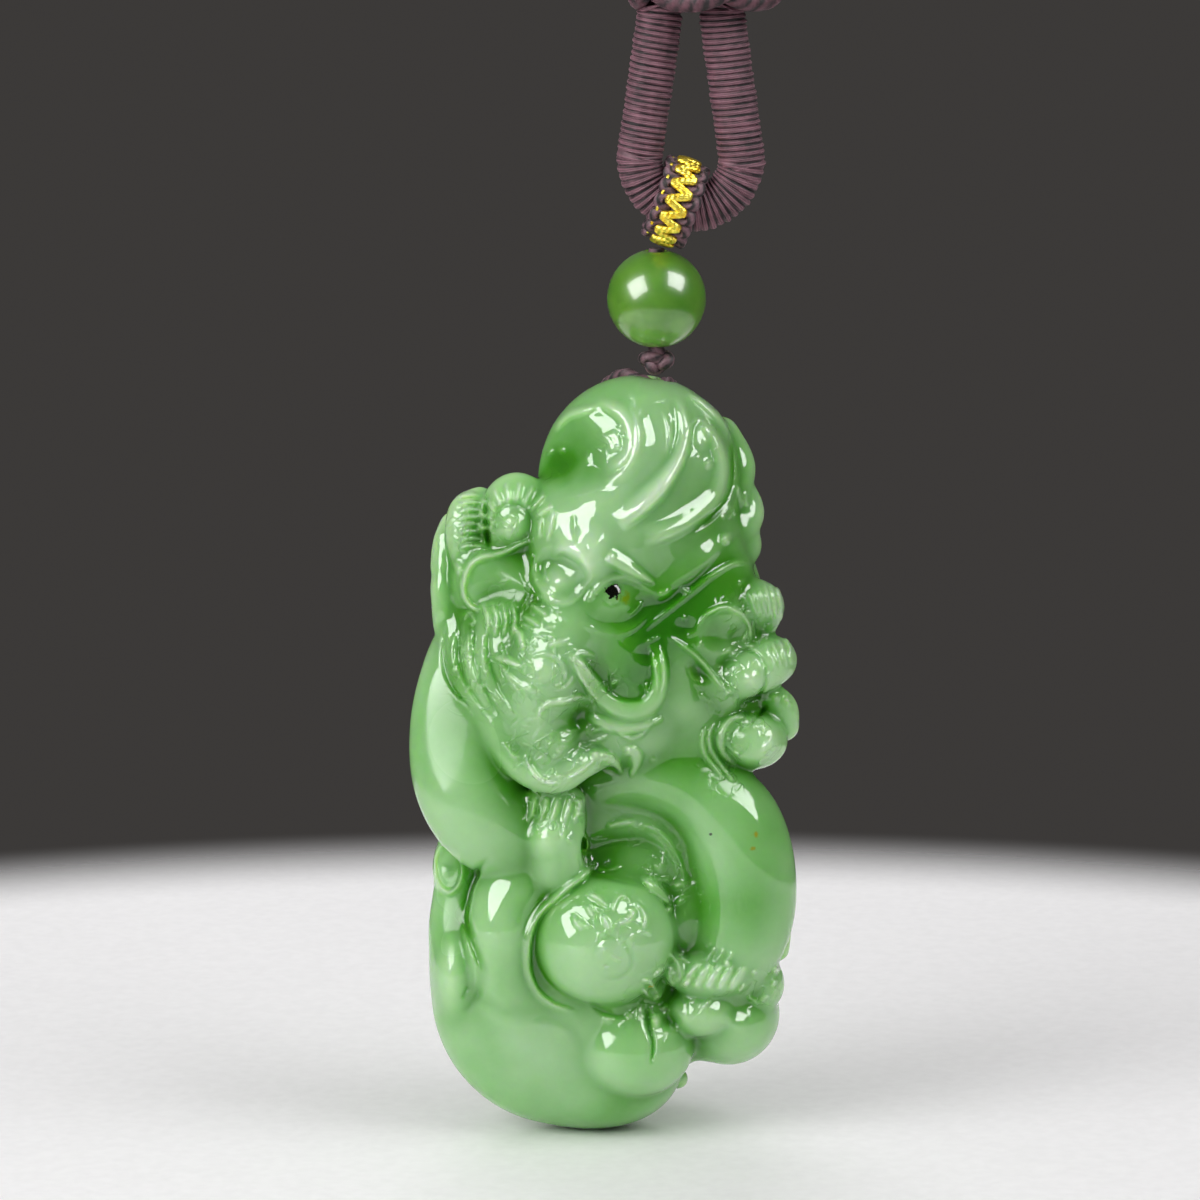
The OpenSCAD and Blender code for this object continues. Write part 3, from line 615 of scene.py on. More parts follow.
# Mouth: a smooth shallow hollow that slants up to the right, and the tongue in it
press(40.8, 53.8, (8, 4.6), -0.4, 0.9, 22)
stroke([(33.2, 52.6), (33.5, 54.8), (36, 56), (40, 56.2), (44, 56.8), (47.8, 56)], (0.7, 1.1, 0.7), 0.35,
       (0.7, 0.7))
stroke([(31.6, 51), (33.2, 52.2), (34.6, 53.6)], 0.5, 0.2)
press(39, 50, (8, 5), 0.3, 1.0, 30)
row_of([(36.4, 48.6), (39.4, 49.2)], [(40.6, 52.4), (43.4, 52.4)], 8, 0.5, 0.22)
row_of([(31.4, 49.6), (32.6, 48.2), (35.2, 47.2)], [(33.4, 50), (34.8, 48.8), (37.6, 48)], 4, 0.45, 0.18)

# Jaw: its ridges, the beard's tuft and the claw beside it
stroke([(29.6, 49.4), (30.8, 47.5), (33, 46), (36, 45.3), (38.8, 45.5)], (0.4, 1.0, 0.5), 0.4, (1, 0.6))
stroke([(33.4, 46.8), (36.2, 46), (39.6, 46.2)], 0.5, 0.2)
stroke([(40.4, 45.8), (44.2, 47), (47.8, 48.5)], (0.4, 1.0, 0.5), 0.4)
stroke([(23.8, 50.8), (26, 49.2), (28.2, 48.5)], (0.4, 0.8, 0.4), 0.35)
stroke([(46.6, 49.2), (48.8, 49.5)], 0.8, 0.3)
stroke([(46.4, 49), (50, 48.8), (52.8, 48), (54.8, 46.4)], (1.6, 2, 0.5), 0.42, (0.6, 0.8), 0.15)
stroke([(55.2, 49.6), (57.9, 49.4), (58.3, 47.8), (56.9, 46)], (1.4, 2, 0.4), 0.42, (0.6, 0.6), 0.15)
press(62.6, 48.4, (1.4, 1.1), 0.2)
presses((2.2, 0.6), 0.16, 0.9, (31.4, 53.8, 20), (29.8, 53, -10), (27, 53.4, 55), (29.8, 50.5, -15),
        (20.8, 53.4, -60))

# Mane at the lower left of the head
row_of([(18.6, 69.6), (20, 67.4), (19.8, 65)], [(26.4, 69.6), (27, 67.2), (26, 65)], 4, (0.7, 1.2, 0.6),
       0.42)
row_of([(20.4, 57.2), (23, 55.6), (25.4, 54.2)], [(22.2, 57.8), (24.6, 56), (27, 54.2)], 3, 0.5, 0.22)
strokes((0.6, 1.1, 0.6), -0.3, [(9.4, 66.4), (8.6, 63), (9.4, 60), (12, 57.4), (16, 55.4)],
        [(13.4, 67.4), (12.6, 63.4), (13.6, 60), (16.6, 57), (20, 54.6)],
        [(17, 68), (16.4, 63.8), (17.6, 60.2), (20, 57.2), (23, 54.2)],
        [(20.6, 67.4), (20.2, 63.6), (21.4, 60.2), (24, 57)])
strokes((0.5, 0.9, 0.4), 0.22, [(11.4, 65.6), (10.6, 62.6), (11.8, 59.6)],
        [(15, 66), (14.6, 62.6), (15.8, 59.6)], [(18.9, 65.6), (18.6, 62.2), (20, 59.2)],
        [(18.2, 58), (19.6, 58.8)], [(14, 57.4), (15.8, 58.4)], [(20.8, 67.2), (21.8, 65.4)])
stroke([(13.8, 67.2), (15, 68.2), (16.6, 67), (14.6, 66.6)], 0.6, 0.25)

# Right side: ribs of the upper lobe, the oval hollow, the smooth lobe with its edge, and the disc
for i in range(6):
    stroke([(87 + 1.5 * i, 71.2 + 0.3 * min(i, 3)), (88.4 + 1.45 * i, 69.4), (90 + 1.1 * i, 67.2)],
           (0.6, 0.95, 0.5), 0.36, ends=0.3)
press(81, 65.3, (7, 5.4), -0.7, 0.9, 12)
stroke([(73.4, 65), (75.4, 67.3), (79, 68.7), (83, 68.8), (86.6, 67.4), (87.9, 65.4), (86.6, 63.8)],
       (0.6, 1.1, 0.6), 0.35)
presses((1.9, 0.7), 0.2, 0.9, (77.8, 68.4, 15), (83.6, 68.4, -30), (86.9, 68.1, 0), (86.4, 70, -60),
        (86.6, 65, 60), (85.6, 72.4, 30), (74.6, 63.9, 40), (81.8, 63, 30), (83.4, 62.6, 30),
        (87.4, 63.8, 5), (72.4, 65.3, 30))
stroke([(83.2, 62.5), (87, 63.1), (90.2, 62.2), (91.8, 60.4), (91.2, 58.2), (88.6, 56.6), (84, 55.9)],
       (0.5, 0.9, 0.5), -0.3)
row_of([(91.8, 64), (93, 62.4), (94.6, 60.6)], [(96.6, 65), (98, 63.4), (98.4, 61.2)], 4, 0.6, 0.25)
stroke([(66.2, 65), (70.4, 63.7), (74, 62.2), (77.2, 60.2), (80, 58.4), (82.4, 57.2)], (0.5, 0.9, 0.5),
       0.4, (0.6, 1.1))
press(81.8, 57.3, (1.3, 1), 0.3, 0.9, 30)
press(88, 59.2, (2.6, 3), 0.3)
press(74.6, 60.2, (5, 3), -0.4, 1.0, -40)
stroke([(74.6, 57.3), (76.2, 56.7), (77.4, 56)], 0.5, 0.2)
press(87.8, 51.2, (8.6, 7.4), 0.55, 0.35)
stroke([(86.8, 54.4), (83.2, 54), (80.9, 52.8), (79.9, 51), (80.9, 49.2), (84, 47.6)], (0.7, 1.5, 0.8),
       0.5, (0.7, 0.7), 0.15)
stroke([(85.2, 53), (83.2, 52.2), (82.6, 50.9), (83.8, 49.6), (86.2, 49.3), (87.4, 50.6), (86.4, 51.8)],
       0.5, -0.14)
stroke([(78.9, 53.6), (77.2, 52), (77.4, 50), (79.2, 48.4), (82.2, 46.4), (84, 45.2)], (0.5, 1.0, 0.5),
       0.4, (0.7, 0.7))
stroke([(76.6, 53.2), (75.4, 51.4), (76, 49.2), (78.6, 47.4), (81.4, 45.6)], (0.5, 1.0, 0.5), 0.35,
       (0.7, 0.7))
stroke([(88, 53), (90, 54.4), (92.6, 56)], (0.4, 0.8, 0.4), -0.3)
press(92.2, 50.6, (1.1, 3.4), 0.3, 0.9, -35)
press(94.4, 56.8, (1.8, 0.9), 0.35, 0.9, 30)
press(97.4, 56.4, (0.9, 1.9), 0.35, 0.9, 15)
press(89, 53, (0.9, 0.9), 0.2)

# Fingers over the ball and the marks on the wrist
for across in (32.2, 35.2, 38.2, 41.2, 44.2):
    stroke([(across, 43.4), (across - 0.5, 42), (across - 1.9, 39.8)], (0.9, 1.4, 0.7), 0.36)
strokes(0.6, 0.25, [(31.2, 44.4), (33.6, 43.4)], [(31.8, 42.4), (31.5, 41), (33, 41)],
        [(38, 43), (36.6, 41), (35.8, 39.8)], [(41.6, 42.6), (40.2, 40.2), (39, 37.6)],
        [(39.2, 38.8), (39.6, 38)], [(40.4, 37.9), (41.6, 37.6)], [(42.6, 43.2), (44.6, 41.8)])
press(44, 41.2, (1.5, 1), 0.35, 0.8)
press(35, 37.7, (7.4, 6.4), 0.55, 1.0)
press(44.8, 37, (2, 3), -0.12, 0.8)
stroke([(44.4, 38.6), (45.6, 37.8), (45.8, 36.6), (45, 35.8)], 0.6, 0.3)

# Terrace and facets of the hollow
stroke([(50.6, 39.3), (54, 39.7), (58, 40)], (0.7, 1.1, 0.7), 0.4, (0.5, 1))
stroke([(59, 39.8), (63.4, 38.9), (67.4, 36.8), (70.2, 33.6), (71, 30.2)], 0.7, 0.25)
stroke([(61, 38.8), (65, 37.2), (68, 34.8), (69.4, 32)], 0.6, 0.2)
stroke([(48, 33.9), (51, 33.6), (54.6, 34.2)], 0.7, 0.25)
stroke([(59.6, 32.7), (63.6, 31.4), (67.6, 28.9)], (0.8, 2.3, 0.7), 0.55, (1, 0.5))
stroke([(62, 32.9), (64.6, 32.3), (67, 32.5)], 0.6, 0.3)
press(69.2, 31.6, (1.9, 1), 0.4, 0.7, 20)
stroke([(68.8, 29.2), (70.8, 29.9)], 0.8, 0.35)
press(67, 28.4, (1, 1.2), 0.35, 0.8)
press(64.4, 34, (1.8, 1.8), 0.25, 1.0)

# Lip round the ball's left side
stroke([(48.4, 35), (44.4, 32.9), (40, 31.2), (35, 29.1), (32.2, 27.3), (30.4, 25), (29.8, 22),
        (30.4, 19.4), (32.8, 16.9), (37, 15.2), (43, 14.4)], (1.2, 1.6, 0.9), 0.5, (0.45, 1.4), 0.12)
stroke([(36, 28.8), (39.2, 30), (42, 31)], 0.5, 0.14)

# Ball's carved marks and dimple
for points, half, height in (
        ([(45.6, 30.4), (48.4, 29.9), (51, 28.6)], (0.7, 1.5, 0.5), 0.42),
        ([(45.2, 28.9), (46.4, 28), (47.6, 27.1)], (0.5, 1, 0.5), 0.35),
        ([(42.2, 27.6), (42.8, 26.4), (44.8, 25.6)], (0.5, 0.9, 0.5), 0.35),
        ([(43, 27), (44.6, 26.2), (46.6, 26.1)], 0.6, 0.28),
        ([(49.6, 27.6), (50.6, 26.5), (51.4, 25.6)], (0.5, 1.2, 0.6), 0.4),
        ([(53.2, 27.8), (52.9, 29), (54.2, 30.1), (56, 29.9), (57, 28.8)], (0.5, 0.8, 0.5), 0.32),
        ([(53.6, 26.4), (55.8, 26.8), (57.6, 27.8), (56.4, 28.7)], (0.6, 1.3, 0.6), 0.42),
        ([(58.2, 29.3), (60.2, 28), (60.8, 26.8), (60, 25.5)], (0.5, 1.1, 0.4), 0.4),
        ([(59.8, 25.4), (62.4, 25)], 0.6, 0.2),
        ([(53.6, 23.9), (55.4, 24.2)], 0.7, 0.2),
        ([(51.6, 22.4), (53, 21.7), (54.8, 21.5)], 0.5, 0.18),
        ([(49.7, 23.4), (50.1, 22.5)], 0.6, 0.2),
        ([(49.6, 20.6), (51.8, 20.6)], 0.6, 0.2),
        ([(47, 21), (47.6, 23), (50, 24.4), (53.6, 24.4), (56.4, 23), (57, 21), (55, 19.6), (51.4, 19.1),
          (48.2, 19.8)], 0.9, -0.16)):
    stroke(points, half, height)

# Creases of the foot, the lobe at its left and the lower ball
stroke([(16, 18.4), (19, 16.2), (24, 14.6), (30, 14.2), (36, 14.2), (42, 12.2), (45, 9)], (2, 4, 2), -0.16)
stroke([(13, 28), (16.4, 24.6), (18.6, 20.4), (17.8, 16.8), (14, 14.4)], (1, 2, 1), -0.16, (1.2, 0.6))
stroke([(21, 35.6), (17, 33), (15, 29.8), (15.2, 26), (17.2, 22.4), (20.4, 19.4)], (1.2, 2, 1.2), -0.28,
       (1, 0.7))
stroke([(9, 37.4), (7, 36.4), (6.2, 34), (7.4, 31.6), (10, 30.6), (12.6, 31.6), (13.4, 34), (12, 36.6)],
       (0.7, 1.1, 0.7), 0.4)
press(9.8, 34, (2.6, 4), -0.3)
stroke([(13.4, 16.2), (15, 18)], 0.6, -0.2)
stroke([(61, 15.6), (61.5, 12.8), (62.6, 10.2), (62, 7.2)], (1, 1.1, 0.5), -0.55)
press(63.5, 13.4, (1.7, 2.4), 0.45, 0.8)
press(67, 13.2, (3.6, 3), -0.3)
press(51.2, 13.6, (1.9, 1.4), 0.3)
press(56.6, 14.2, (1.5, 1.1), 0.3)
stroke([(46, 16), (49.6, 14.6), (54, 14), (58, 14.8)], (0.8, 1.4, 0.8), -0.2)

# Paw at the lower right: slanting fingers, the loops at its left end, and the knob's ribs
row_of([(70.4, 17.6), (72.2, 19.4), (74.6, 21.4)], [(82.6, 17.2), (84.4, 18.9), (86.4, 20.6)], 5,
       (1, 1.5, 0.8), 0.36, (0.5, 0.9))
row_of([(76.2, 21.4), (78.6, 23.2)], [(81, 21), (83.2, 22.6)], 3, 0.7, 0.3)
strokes((0.6, 0.9, 0.5), 0.35, [(66.8, 22.6), (68.8, 21.2), (69.8, 19.4), (68.2, 18.3)],
        [(67.2, 20.6), (66.9, 19), (68, 18)], [(69, 22.3), (71.8, 21.2)], [(71.4, 19.2), (73.4, 20.6)],
        [(62.8, 19.2), (65.4, 20.4)], [(59.4, 18.6), (61.8, 18.6), (63.6, 17)], [(60, 17.6), (61.6, 16.6)],
        [(62.6, 16.2), (64.8, 16.8)], [(65, 14.9), (66.4, 15.5)], [(75, 15), (77.8, 16.2)],
        [(86.8, 16.8), (88.6, 16), (90.2, 15.4)], [(90.2, 15.6), (91.8, 16.6)], [(93.4, 18), (94.4, 19)],
        [(93.8, 19.6), (94.8, 20.6)], [(88.2, 19.6), (89.6, 20)], [(84.6, 17.2), (86.6, 18.2)])
press(71.2, 18.3, (1.7, 1.1), 0.4, 0.6, 25)
press(81.8, 20.9, (1.2, 1), 0.4, 0.6, 25)
press(83.6, 12.4, (4.4, 4.6), 0.25)

# Channel for the carving's thread, behind the crest. Columns: x, y and z from the knot's foot, in
# hundredths of the carving's width
THREAD = [(-1.9, 1.9, -2.5), (-4.7, 4.1, -1.6), (-7.9, 6.9, -0.8), (-11.4, 10.4, -2.8),
          (-14.8, 14.2, -6.9), (-18.3, 17, -12), (-20.5, 17.7, -15.1), (-20.5, 16.1, -18),
          (-17, 13.6, -19.2), (-10.7, 11.4, -19.6), (1.9, 11.4, -19.6), (8.2, 13.6, -19.2),
          (11.7, 16.1, -18), (11.7, 17.7, -15.1), (9.5, 17, -12.9), (6, 14.2, -8.5), (4.4, 10.4, -4.7),
          (3.5, 6.9, -3.2), (2.5, 4.1, -2.8), (1.9, 1.9, -2.5)]
THREAD_GAP = 0.15
THREAD_LINE = smooth_rows(THREAD, 4) / 100 * CARVING_W + [BEAD_X, 0, KNOT_FOOT_Z]
rod(THREAD_LINE, np.full(len(THREAD_LINE), CARVING_THREAD_D / 2 + THREAD_GAP), 0.15, carve)
ellipsoid(np.array([BEAD_X, 0, KNOT_FOOT_Z + 0.4]), (1.75, 1.75, 0.75), 0.2, carve)


# Surface of the field as a mesh

def surface():
    """Vertices and faces of the field's zero level."""
    inside = field < 0
    cells = np.zeros(tuple(n - 1 for n in field.shape), np.int8)
    for a in (0, 1):
        for b in (0, 1):
            for c in (0, 1):
                cells += inside[a:a + cells.shape[0], b:b + cells.shape[1], c:c + cells.shape[2]]
    active = np.argwhere((cells > 0) & (cells < 8))
    number = np.full(cells.shape, -1, np.int32)
    number[tuple(active.T)] = np.arange(len(active))
    total = np.zeros((len(active), 3))
    count = np.zeros(len(active))
    faces = []
    for axis in range(3):
        b, c = (axis + 1) % 3, (axis + 2) % 3
        # Each cell's point is the middle of the places where its edges cross the surface
        others = [k for k in range(3) if k != axis]
        for p in (0, 1):
            for q in (0, 1):
                start = np.zeros(3, int)
                start[others[0]], start[others[1]] = p, q
                end = start.copy()
                end[axis] = 1
                va = field[tuple((active + start).T)]
                vb = field[tuple((active + end).T)]
                crossing = (va < 0) != (vb < 0)
                t = np.where(crossing, va / np.where(crossing, va - vb, 1), 0)
                spot = active + start + 0.0
                spot[:, axis] += t
                total += np.where(crossing[:, None], spot, 0)
                count += crossing
        # Each edge that crosses it gives a face between its four cells
        near = [slice(None)] * 3
        far = [slice(None)] * 3
        near[axis], far[axis] = slice(None, -1), slice(1, None)
        first, second = inside[tuple(near)], inside[tuple(far)]
        edges = np.argwhere(first != second)
        edges = edges[(edges[:, b] > 0) & (edges[:, c] > 0)]
        edges = edges[(edges[:, b] < number.shape[b]) & (edges[:, c] < number.shape[c])]
        out = first[tuple(edges.T)]
        ring = []
        for p, q in ((-1, -1), (0, -1), (0, 0), (-1, 0)):
            at = edges.copy()
            at[:, b] += p
            at[:, c] += q
            ring.append(number[tuple(at.T)])
        ring = np.stack(ring, 1)
        ring[~out] = ring[~out][:, ::-1]
        faces.append(ring)
    points = total / count[:, None] * STEP + LOW
    for _ in range(2):
        d = np.clip(sample(field, points), -0.5 * STEP, 0.5 * STEP)
        points = points - slope(points, 0.6 * STEP) * d[:, None]
    return points, np.concatenate(faces)


def mesh_object(name, points, faces, corners=None):
    """An object from points in mm and faces of four corners, of which the last two may be one.
    corners is a map of the faces' corners."""
    points, faces = np.asarray(points), np.asarray(faces)
    keep = np.ones(faces.shape, bool)
    keep[:, 3] = faces[:, 2] != faces[:, 3]
    sizes = keep.sum(1)
    mesh = bpy.data.meshes.new(name)
    mesh.vertices.add(len(points))
    mesh.vertices.foreach_set("co", (points * MM).astype(np.float32).ravel())
    mesh.loops.add(int(sizes.sum()))
    mesh.loops.foreach_set("vertex_index", faces[keep].astype(np.int32))
    mesh.polygons.add(len(faces))
    mesh.polygons.foreach_set("loop_start", (np.cumsum(sizes) - sizes).astype(np.int32))
    mesh.update(calc_edges=True)
    mesh.polygons.foreach_set("use_smooth", np.ones(len(faces), bool))
    if corners is not None:
        layer = mesh.uv_layers.new(name="map")
        layer.data.foreach_set("uv", corners.reshape(faces.shape + (2,))[keep].astype(np.float32).ravel())
    mesh.validate()
    obj = bpy.data.objects.new(name, mesh)
    bpy.context.scene.collection.objects.link(obj)
    return obj


def thin_out(obj, limit):
    """Collapses a mesh to at most limit triangles."""
    count = sum(len(p.vertices) - 2 for p in obj.data.polygons)
    if count <= limit:
        return
    less = obj.modifiers.new("less", "DECIMATE")
    less.ratio = limit / count
    graph = bpy.context.evaluated_depsgraph_get()
    mesh = bpy.data.meshes.new_from_object(obj.evaluated_get(graph))
    obj.modifiers.clear()
    obj.data = mesh


CARVING_TRIANGLES = 192000
jade = mesh_object("jade_dragon", *surface())
thin_out(jade, CARVING_TRIANGLES)
jade_points = np.zeros(len(jade.data.vertices) * 3, np.float32)
jade.data.vertices.foreach_get("co", jade_points)
jade_points = jade_points.reshape(-1, 3).astype(float) / MM
jade.data.polygons.foreach_set("use_smooth", np.ones(len(jade.data.polygons), bool))
jade.data.normals_split_custom_set_from_vertices(slope(jade_points, 0.7 * STEP).astype(np.float32))


def jade_layer(name, values):
    """Keeps a number for each of the carving's vertices, for its material to read."""
    layer = jade.data.attributes.new(name, "FLOAT", "POINT")
    layer.data.foreach_set("value", values.astype(np.float32))


# How proud or sunken each place is, at two scales: above zero on proud forms, below in hollows
# These two set the carving's painted glow on proud forms and painted shade in hollows
for name, reach in (("proud", 0.7), ("broad", 2.1)):
    jade_layer(name, sample(soften(np.clip(field, -3, 3), int(round(reach / STEP))), jade_points))
# Zones of painted light, lighter above zero, and of painted shade, darker and greener below zero, some of
# them the stone's own milkier and greener patches; then satin zones and zones of fine tool marks.
# Columns: across, up, reach in mm and share
LIGHT_AND_SHADE_ZONES = [(72, 68, 5.5, -0.45), (60, 65, 4.5, -0.32), (82, 73, 5, -0.22), (56, 59, 4, -0.34),
         (43, 90, 6, -0.04), (57, 37, 5, 0.04), (68, 47, 6, -0.16), (68, 58, 5, -0.16),
         (39.8, 73.6, 3.5, 0.14), (86, 28, 6, -0.3), (92, 39, 5, -0.14), (80, 44, 5, -0.1),
         (58, 9, 5, -0.14), (56, 1, 5, -0.2), (22, 46, 5, -0.12), (76, 60, 4, -0.16),
         (41, 53, 3.5, -0.08), (62, 20, 4, -0.1), (8, 47, 6, 0.06), (50, 22, 6, 0.14), (12, 19, 5, 0.1),
         (34, 9, 8, 0.22), (60, 88, 8, 0.22), (46, 79, 7, 0.2), (58, 55.4, 2.2, -0.1), (76, 36, 5, 0.04)]
SATIN = [(13, 52, 8, 0.32), (20, 46, 6, 0.1), (22, 71, 5, 0.24), (81, 48, 5, 0.26), (10, 31, 4, 0.34),
         (11, 24, 3.4, 0.34)]
TOOLED = [(27, 67, 5, 0.9), (34, 60, 5, 0.9), (18, 60, 5, 0.8), (47, 58, 4, 0.7), (33, 49, 4, 0.8),
          (50, 49, 3, 0.6), (88, 68, 4, 0.7), (86, 58, 4, 0.7), (87, 51, 4.5, 0.8), (38, 42, 3.5, 0.8),
          (66, 33, 4, 0.45), (58, 39, 3, 0.2), (75, 18, 3.6, 0.9), (63, 18, 3.4, 0.9), (91, 18, 3, 0.7),
          (81, 47, 3.4, 0.4), (27, 81, 4, 0.5), (15, 80, 4, 0.6), (52, 27, 4, 0.6), (52, 91, 2.4, 0.35),
          (38, 88, 3, 0.2), (77, 92, 3, 0.25), (61, 14, 3, 0.6)]
for name, rows in (("tone_and_painted_light", LIGHT_AND_SHADE_ZONES), ("satin", SATIN), ("tooled", TOOLED)):
    total = np.zeros(len(jade_points), np.float32)
    for across, up, reach, share in rows:
        spot = front([[across, up]])[0]
        total += share * ease(1 - np.linalg.norm(jade_points - spot, axis=1) / reach)
    jade_layer(name, total)
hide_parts("jade_carving")
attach(jade, "pendant")


# Materials

def shade(red, green, blue):
    """A screen colour of 0 to 255 as light."""
    return tuple(((c / 255 + 0.055) / 1.055) ** 2.4 if c > 10 else c / 255 / 12.92
                 for c in (red, green, blue))


class Paint:
    """A new material and short ways to add nodes to it."""

    def __init__(self, name):
        self.material = bpy.data.materials.new(name)
        self.material.use_nodes = True
        self.tree = self.material.node_tree
        self.shader = self.tree.nodes["Principled BSDF"]
        self.where = self.add("ShaderNodeTexCoord").outputs["Object"]

    def add(self, kind, links=(), **values):
        """A node of that kind, with its sockets' links or values and its own settings."""
        node = self.tree.nodes.new(kind)
        for key, value in values.items():
            setattr(node, key, value)
        for socket, value in dict(links).items():
            self.set(node, socket, value)
        return node

    def set(self, node, socket, value):
        """Gives a node's socket a value, or a link to another node's output."""
        if isinstance(value, bpy.types.NodeSocket):
            self.tree.links.new(value, node.inputs[socket])
        else:
            node.inputs[socket].default_value = value

    def look(self, **values):
        """Sets the shader's own sockets."""
        for key, value in values.items():
            self.set(self.shader, key.replace("_", " "), value)

    def maths(self, operation, a, b=0.0, c=0.0):
        """The result of an operation on numbers or outputs."""
        return self.add("ShaderNodeMath", {0: a, 1: b, 2: c}, operation=operation).outputs[0]

    def total(self, first, *others):
        for value in others:
            first = self.maths("ADD", first, value)
        return first

    def product(self, first, *others):
        for value in others:
            first = self.maths("MULTIPLY", first, value)
        return first

    def between(self, value, low, high, start=0.0, end=1.0, kind="LINEAR"):
        """From start to end as the value goes from low to high."""
        return self.add("ShaderNodeMapRange", {"Value": value, "From Min": low, "From Max": high,
                                               "To Min": start, "To Max": end},
                        interpolation_type=kind).outputs[0]

    def far_from(self, spot):
        """The distance in metres from a spot given in mm."""
        return self.add("ShaderNodeVectorMath", {0: self.where, 1: tuple(spot * MM)},
                        operation="DISTANCE").outputs["Value"]

    def ramp(self, value, stops):
        """A colour for a value, from stops of place and colour."""
        node = self.add("ShaderNodeValToRGB", {0: value})
        line = node.color_ramp.elements
        while len(line) < len(stops):
            line.new(0.5)
        for spot, (at, colour) in zip(line, stops):
            spot.position = at
            spot.color = tuple(colour) + (1,)
        return node.outputs[0]

    def noise(self, scale, detail=2.0, rough=0.5, at=None):
        """Noise between 0 and 1 over the piece, or over other coordinates."""
        return self.add("ShaderNodeTexNoise", {"Vector": self.where if at is None else at, "Scale": scale,
                                               "Detail": detail, "Roughness": rough}).outputs[0]

    def mix(self, share, a, b):
        """Colour a, changed by that share towards colour b."""
        node = self.add("ShaderNodeMix", data_type="RGBA")
        for socket, value in ((0, share), (6, a), (7, b)):
            self.set(node, socket, value if not isinstance(value, tuple) else tuple(value) + (1,))
        return node.outputs[2]

    def bump(self, height, strength, distance):
        """The shader's normal over a relief, distance metres deep."""
        return self.add("ShaderNodeBump", {"Height": height, "Strength": strength,
                                           "Distance": distance}).outputs[0]

    def wear(self, *objects):
        """Puts the material on objects, alone."""
        for obj in objects:
            obj.data.materials.clear()
            obj.data.materials.append(self.material)


# Jade of the carving, with clouds and veins, lighter and milkier where it stands proud and greener in the
# hollows: painted glow on the proud forms and painted shade in the hollows
paint = Paint("carving_jade")
proud, broad, tone_and_painted_light, satin, tooled = (
    paint.add("ShaderNodeAttribute", attribute_name=name).outputs["Fac"]
    for name in ("proud", "broad", "tone_and_painted_light", "satin", "tooled"))
cloud, vein = paint.noise(95, 2.5, 0.55), paint.noise(420, 3, 0.6)
# Painted glow and shade: the colour rises with how proud each place is and falls in the hollows, then the
# clouds, veins and the zones of painted light and shade add to it
level = paint.maths("MULTIPLY_ADD", proud, 0.2, paint.maths("MULTIPLY_ADD", broad, 0.34, 0.42))
level = paint.total(level, paint.maths("MULTIPLY_ADD", cloud, 0.5, -0.25),
                    paint.maths("MULTIPLY_ADD", vein, 0.1, -0.05), tone_and_painted_light)
colour = paint.ramp(level, [(0.0, shade(42, 120, 14)), (0.25, shade(76, 153, 36)),
                            (0.5, shade(130, 183, 114)), (0.75, shade(162, 201, 152)),
                            (1.0, shade(186, 215, 182))])


def marks(turn, long, short):
    """Thin short ridges at that angle in the camera's plane, with their length and width in mm."""
    lying = paint.add("ShaderNodeMapping", {"Vector": paint.where, "Rotation": (0, -math.radians(turn), 0),
                                            "Scale": (long * MM, long * MM, short * MM)},
                      vector_type="TEXTURE").outputs[0]
    off = paint.maths("ABSOLUTE", paint.maths("SUBTRACT", paint.noise(1.0, 1.0, at=lying), 0.5))
    return paint.maths("SUBTRACT", 1.0, paint.between(off, 0.0, 0.08))


def stain(colour, across, up, size, tint, soft):
    """Lays a ragged stain of that tint over a colour, size mm in radius. soft is the share of its
    radius over which it fades."""
    ragged = paint.maths("MULTIPLY_ADD", paint.noise(2200, 2), size * MM * 2.4, -size * MM * 1.2)
    far = paint.total(paint.far_from(front([[across, up]])[0]), ragged)
    return paint.mix(paint.between(far, size * MM, size * MM * (1 - soft)), colour, tint)


# Dark fleck of the right eye with green round it, a speck on the right coil, the two orange
# streaks and the spot of the lower paw
for row in ((52.4, 71.1, 0.6, shade(8, 10, 5), 0.2), (55.6, 70.2, 0.6, shade(110, 150, 20), 0.9),
            (77.5, 38.4, 0.16, shade(30, 60, 15), 0.5), (89, 38.5, 0.3, shade(150, 146, 44), 0.8),
            (88.4, 36.5, 0.26, shade(146, 148, 50), 0.8), (62, 18, 0.3, shade(190, 140, 40), 0.8)):
    colour = stain(colour, *row)
tooled = paint.add("ShaderNodeClamp", {0: paint.maths("MULTIPLY", tooled, 1.8)}).outputs[0]
lines = paint.total(marks(35, 4.2, 1.2), paint.total(marks(-30, 3.6, 1.1), marks(80, 3.4, 1.1)))
broken = paint.between(paint.noise(640, 1), 0.5, 0.56)
rough = paint.maths("MULTIPLY_ADD", paint.noise(900, 2), 0.1, paint.product(lines, broken, tooled))
paint.look(Base_Color=colour, Roughness=paint.maths("ADD", 0.045, satin), IOR=1.61,
           Specular_IOR_Level=paint.maths("MULTIPLY_ADD", satin, -0.95, 0.5), Subsurface_Weight=1.0,
           Subsurface_Scale=0.006, Subsurface_Radius=(0.7, 1.0, 0.35), Coat_Weight=0.15,
           Coat_Roughness=0.02, Coat_IOR=1.6, Normal=paint.bump(rough, 1.0, 0.0001))
paint.wear(jade)


# Cords, threads and knots, as tubes along paths

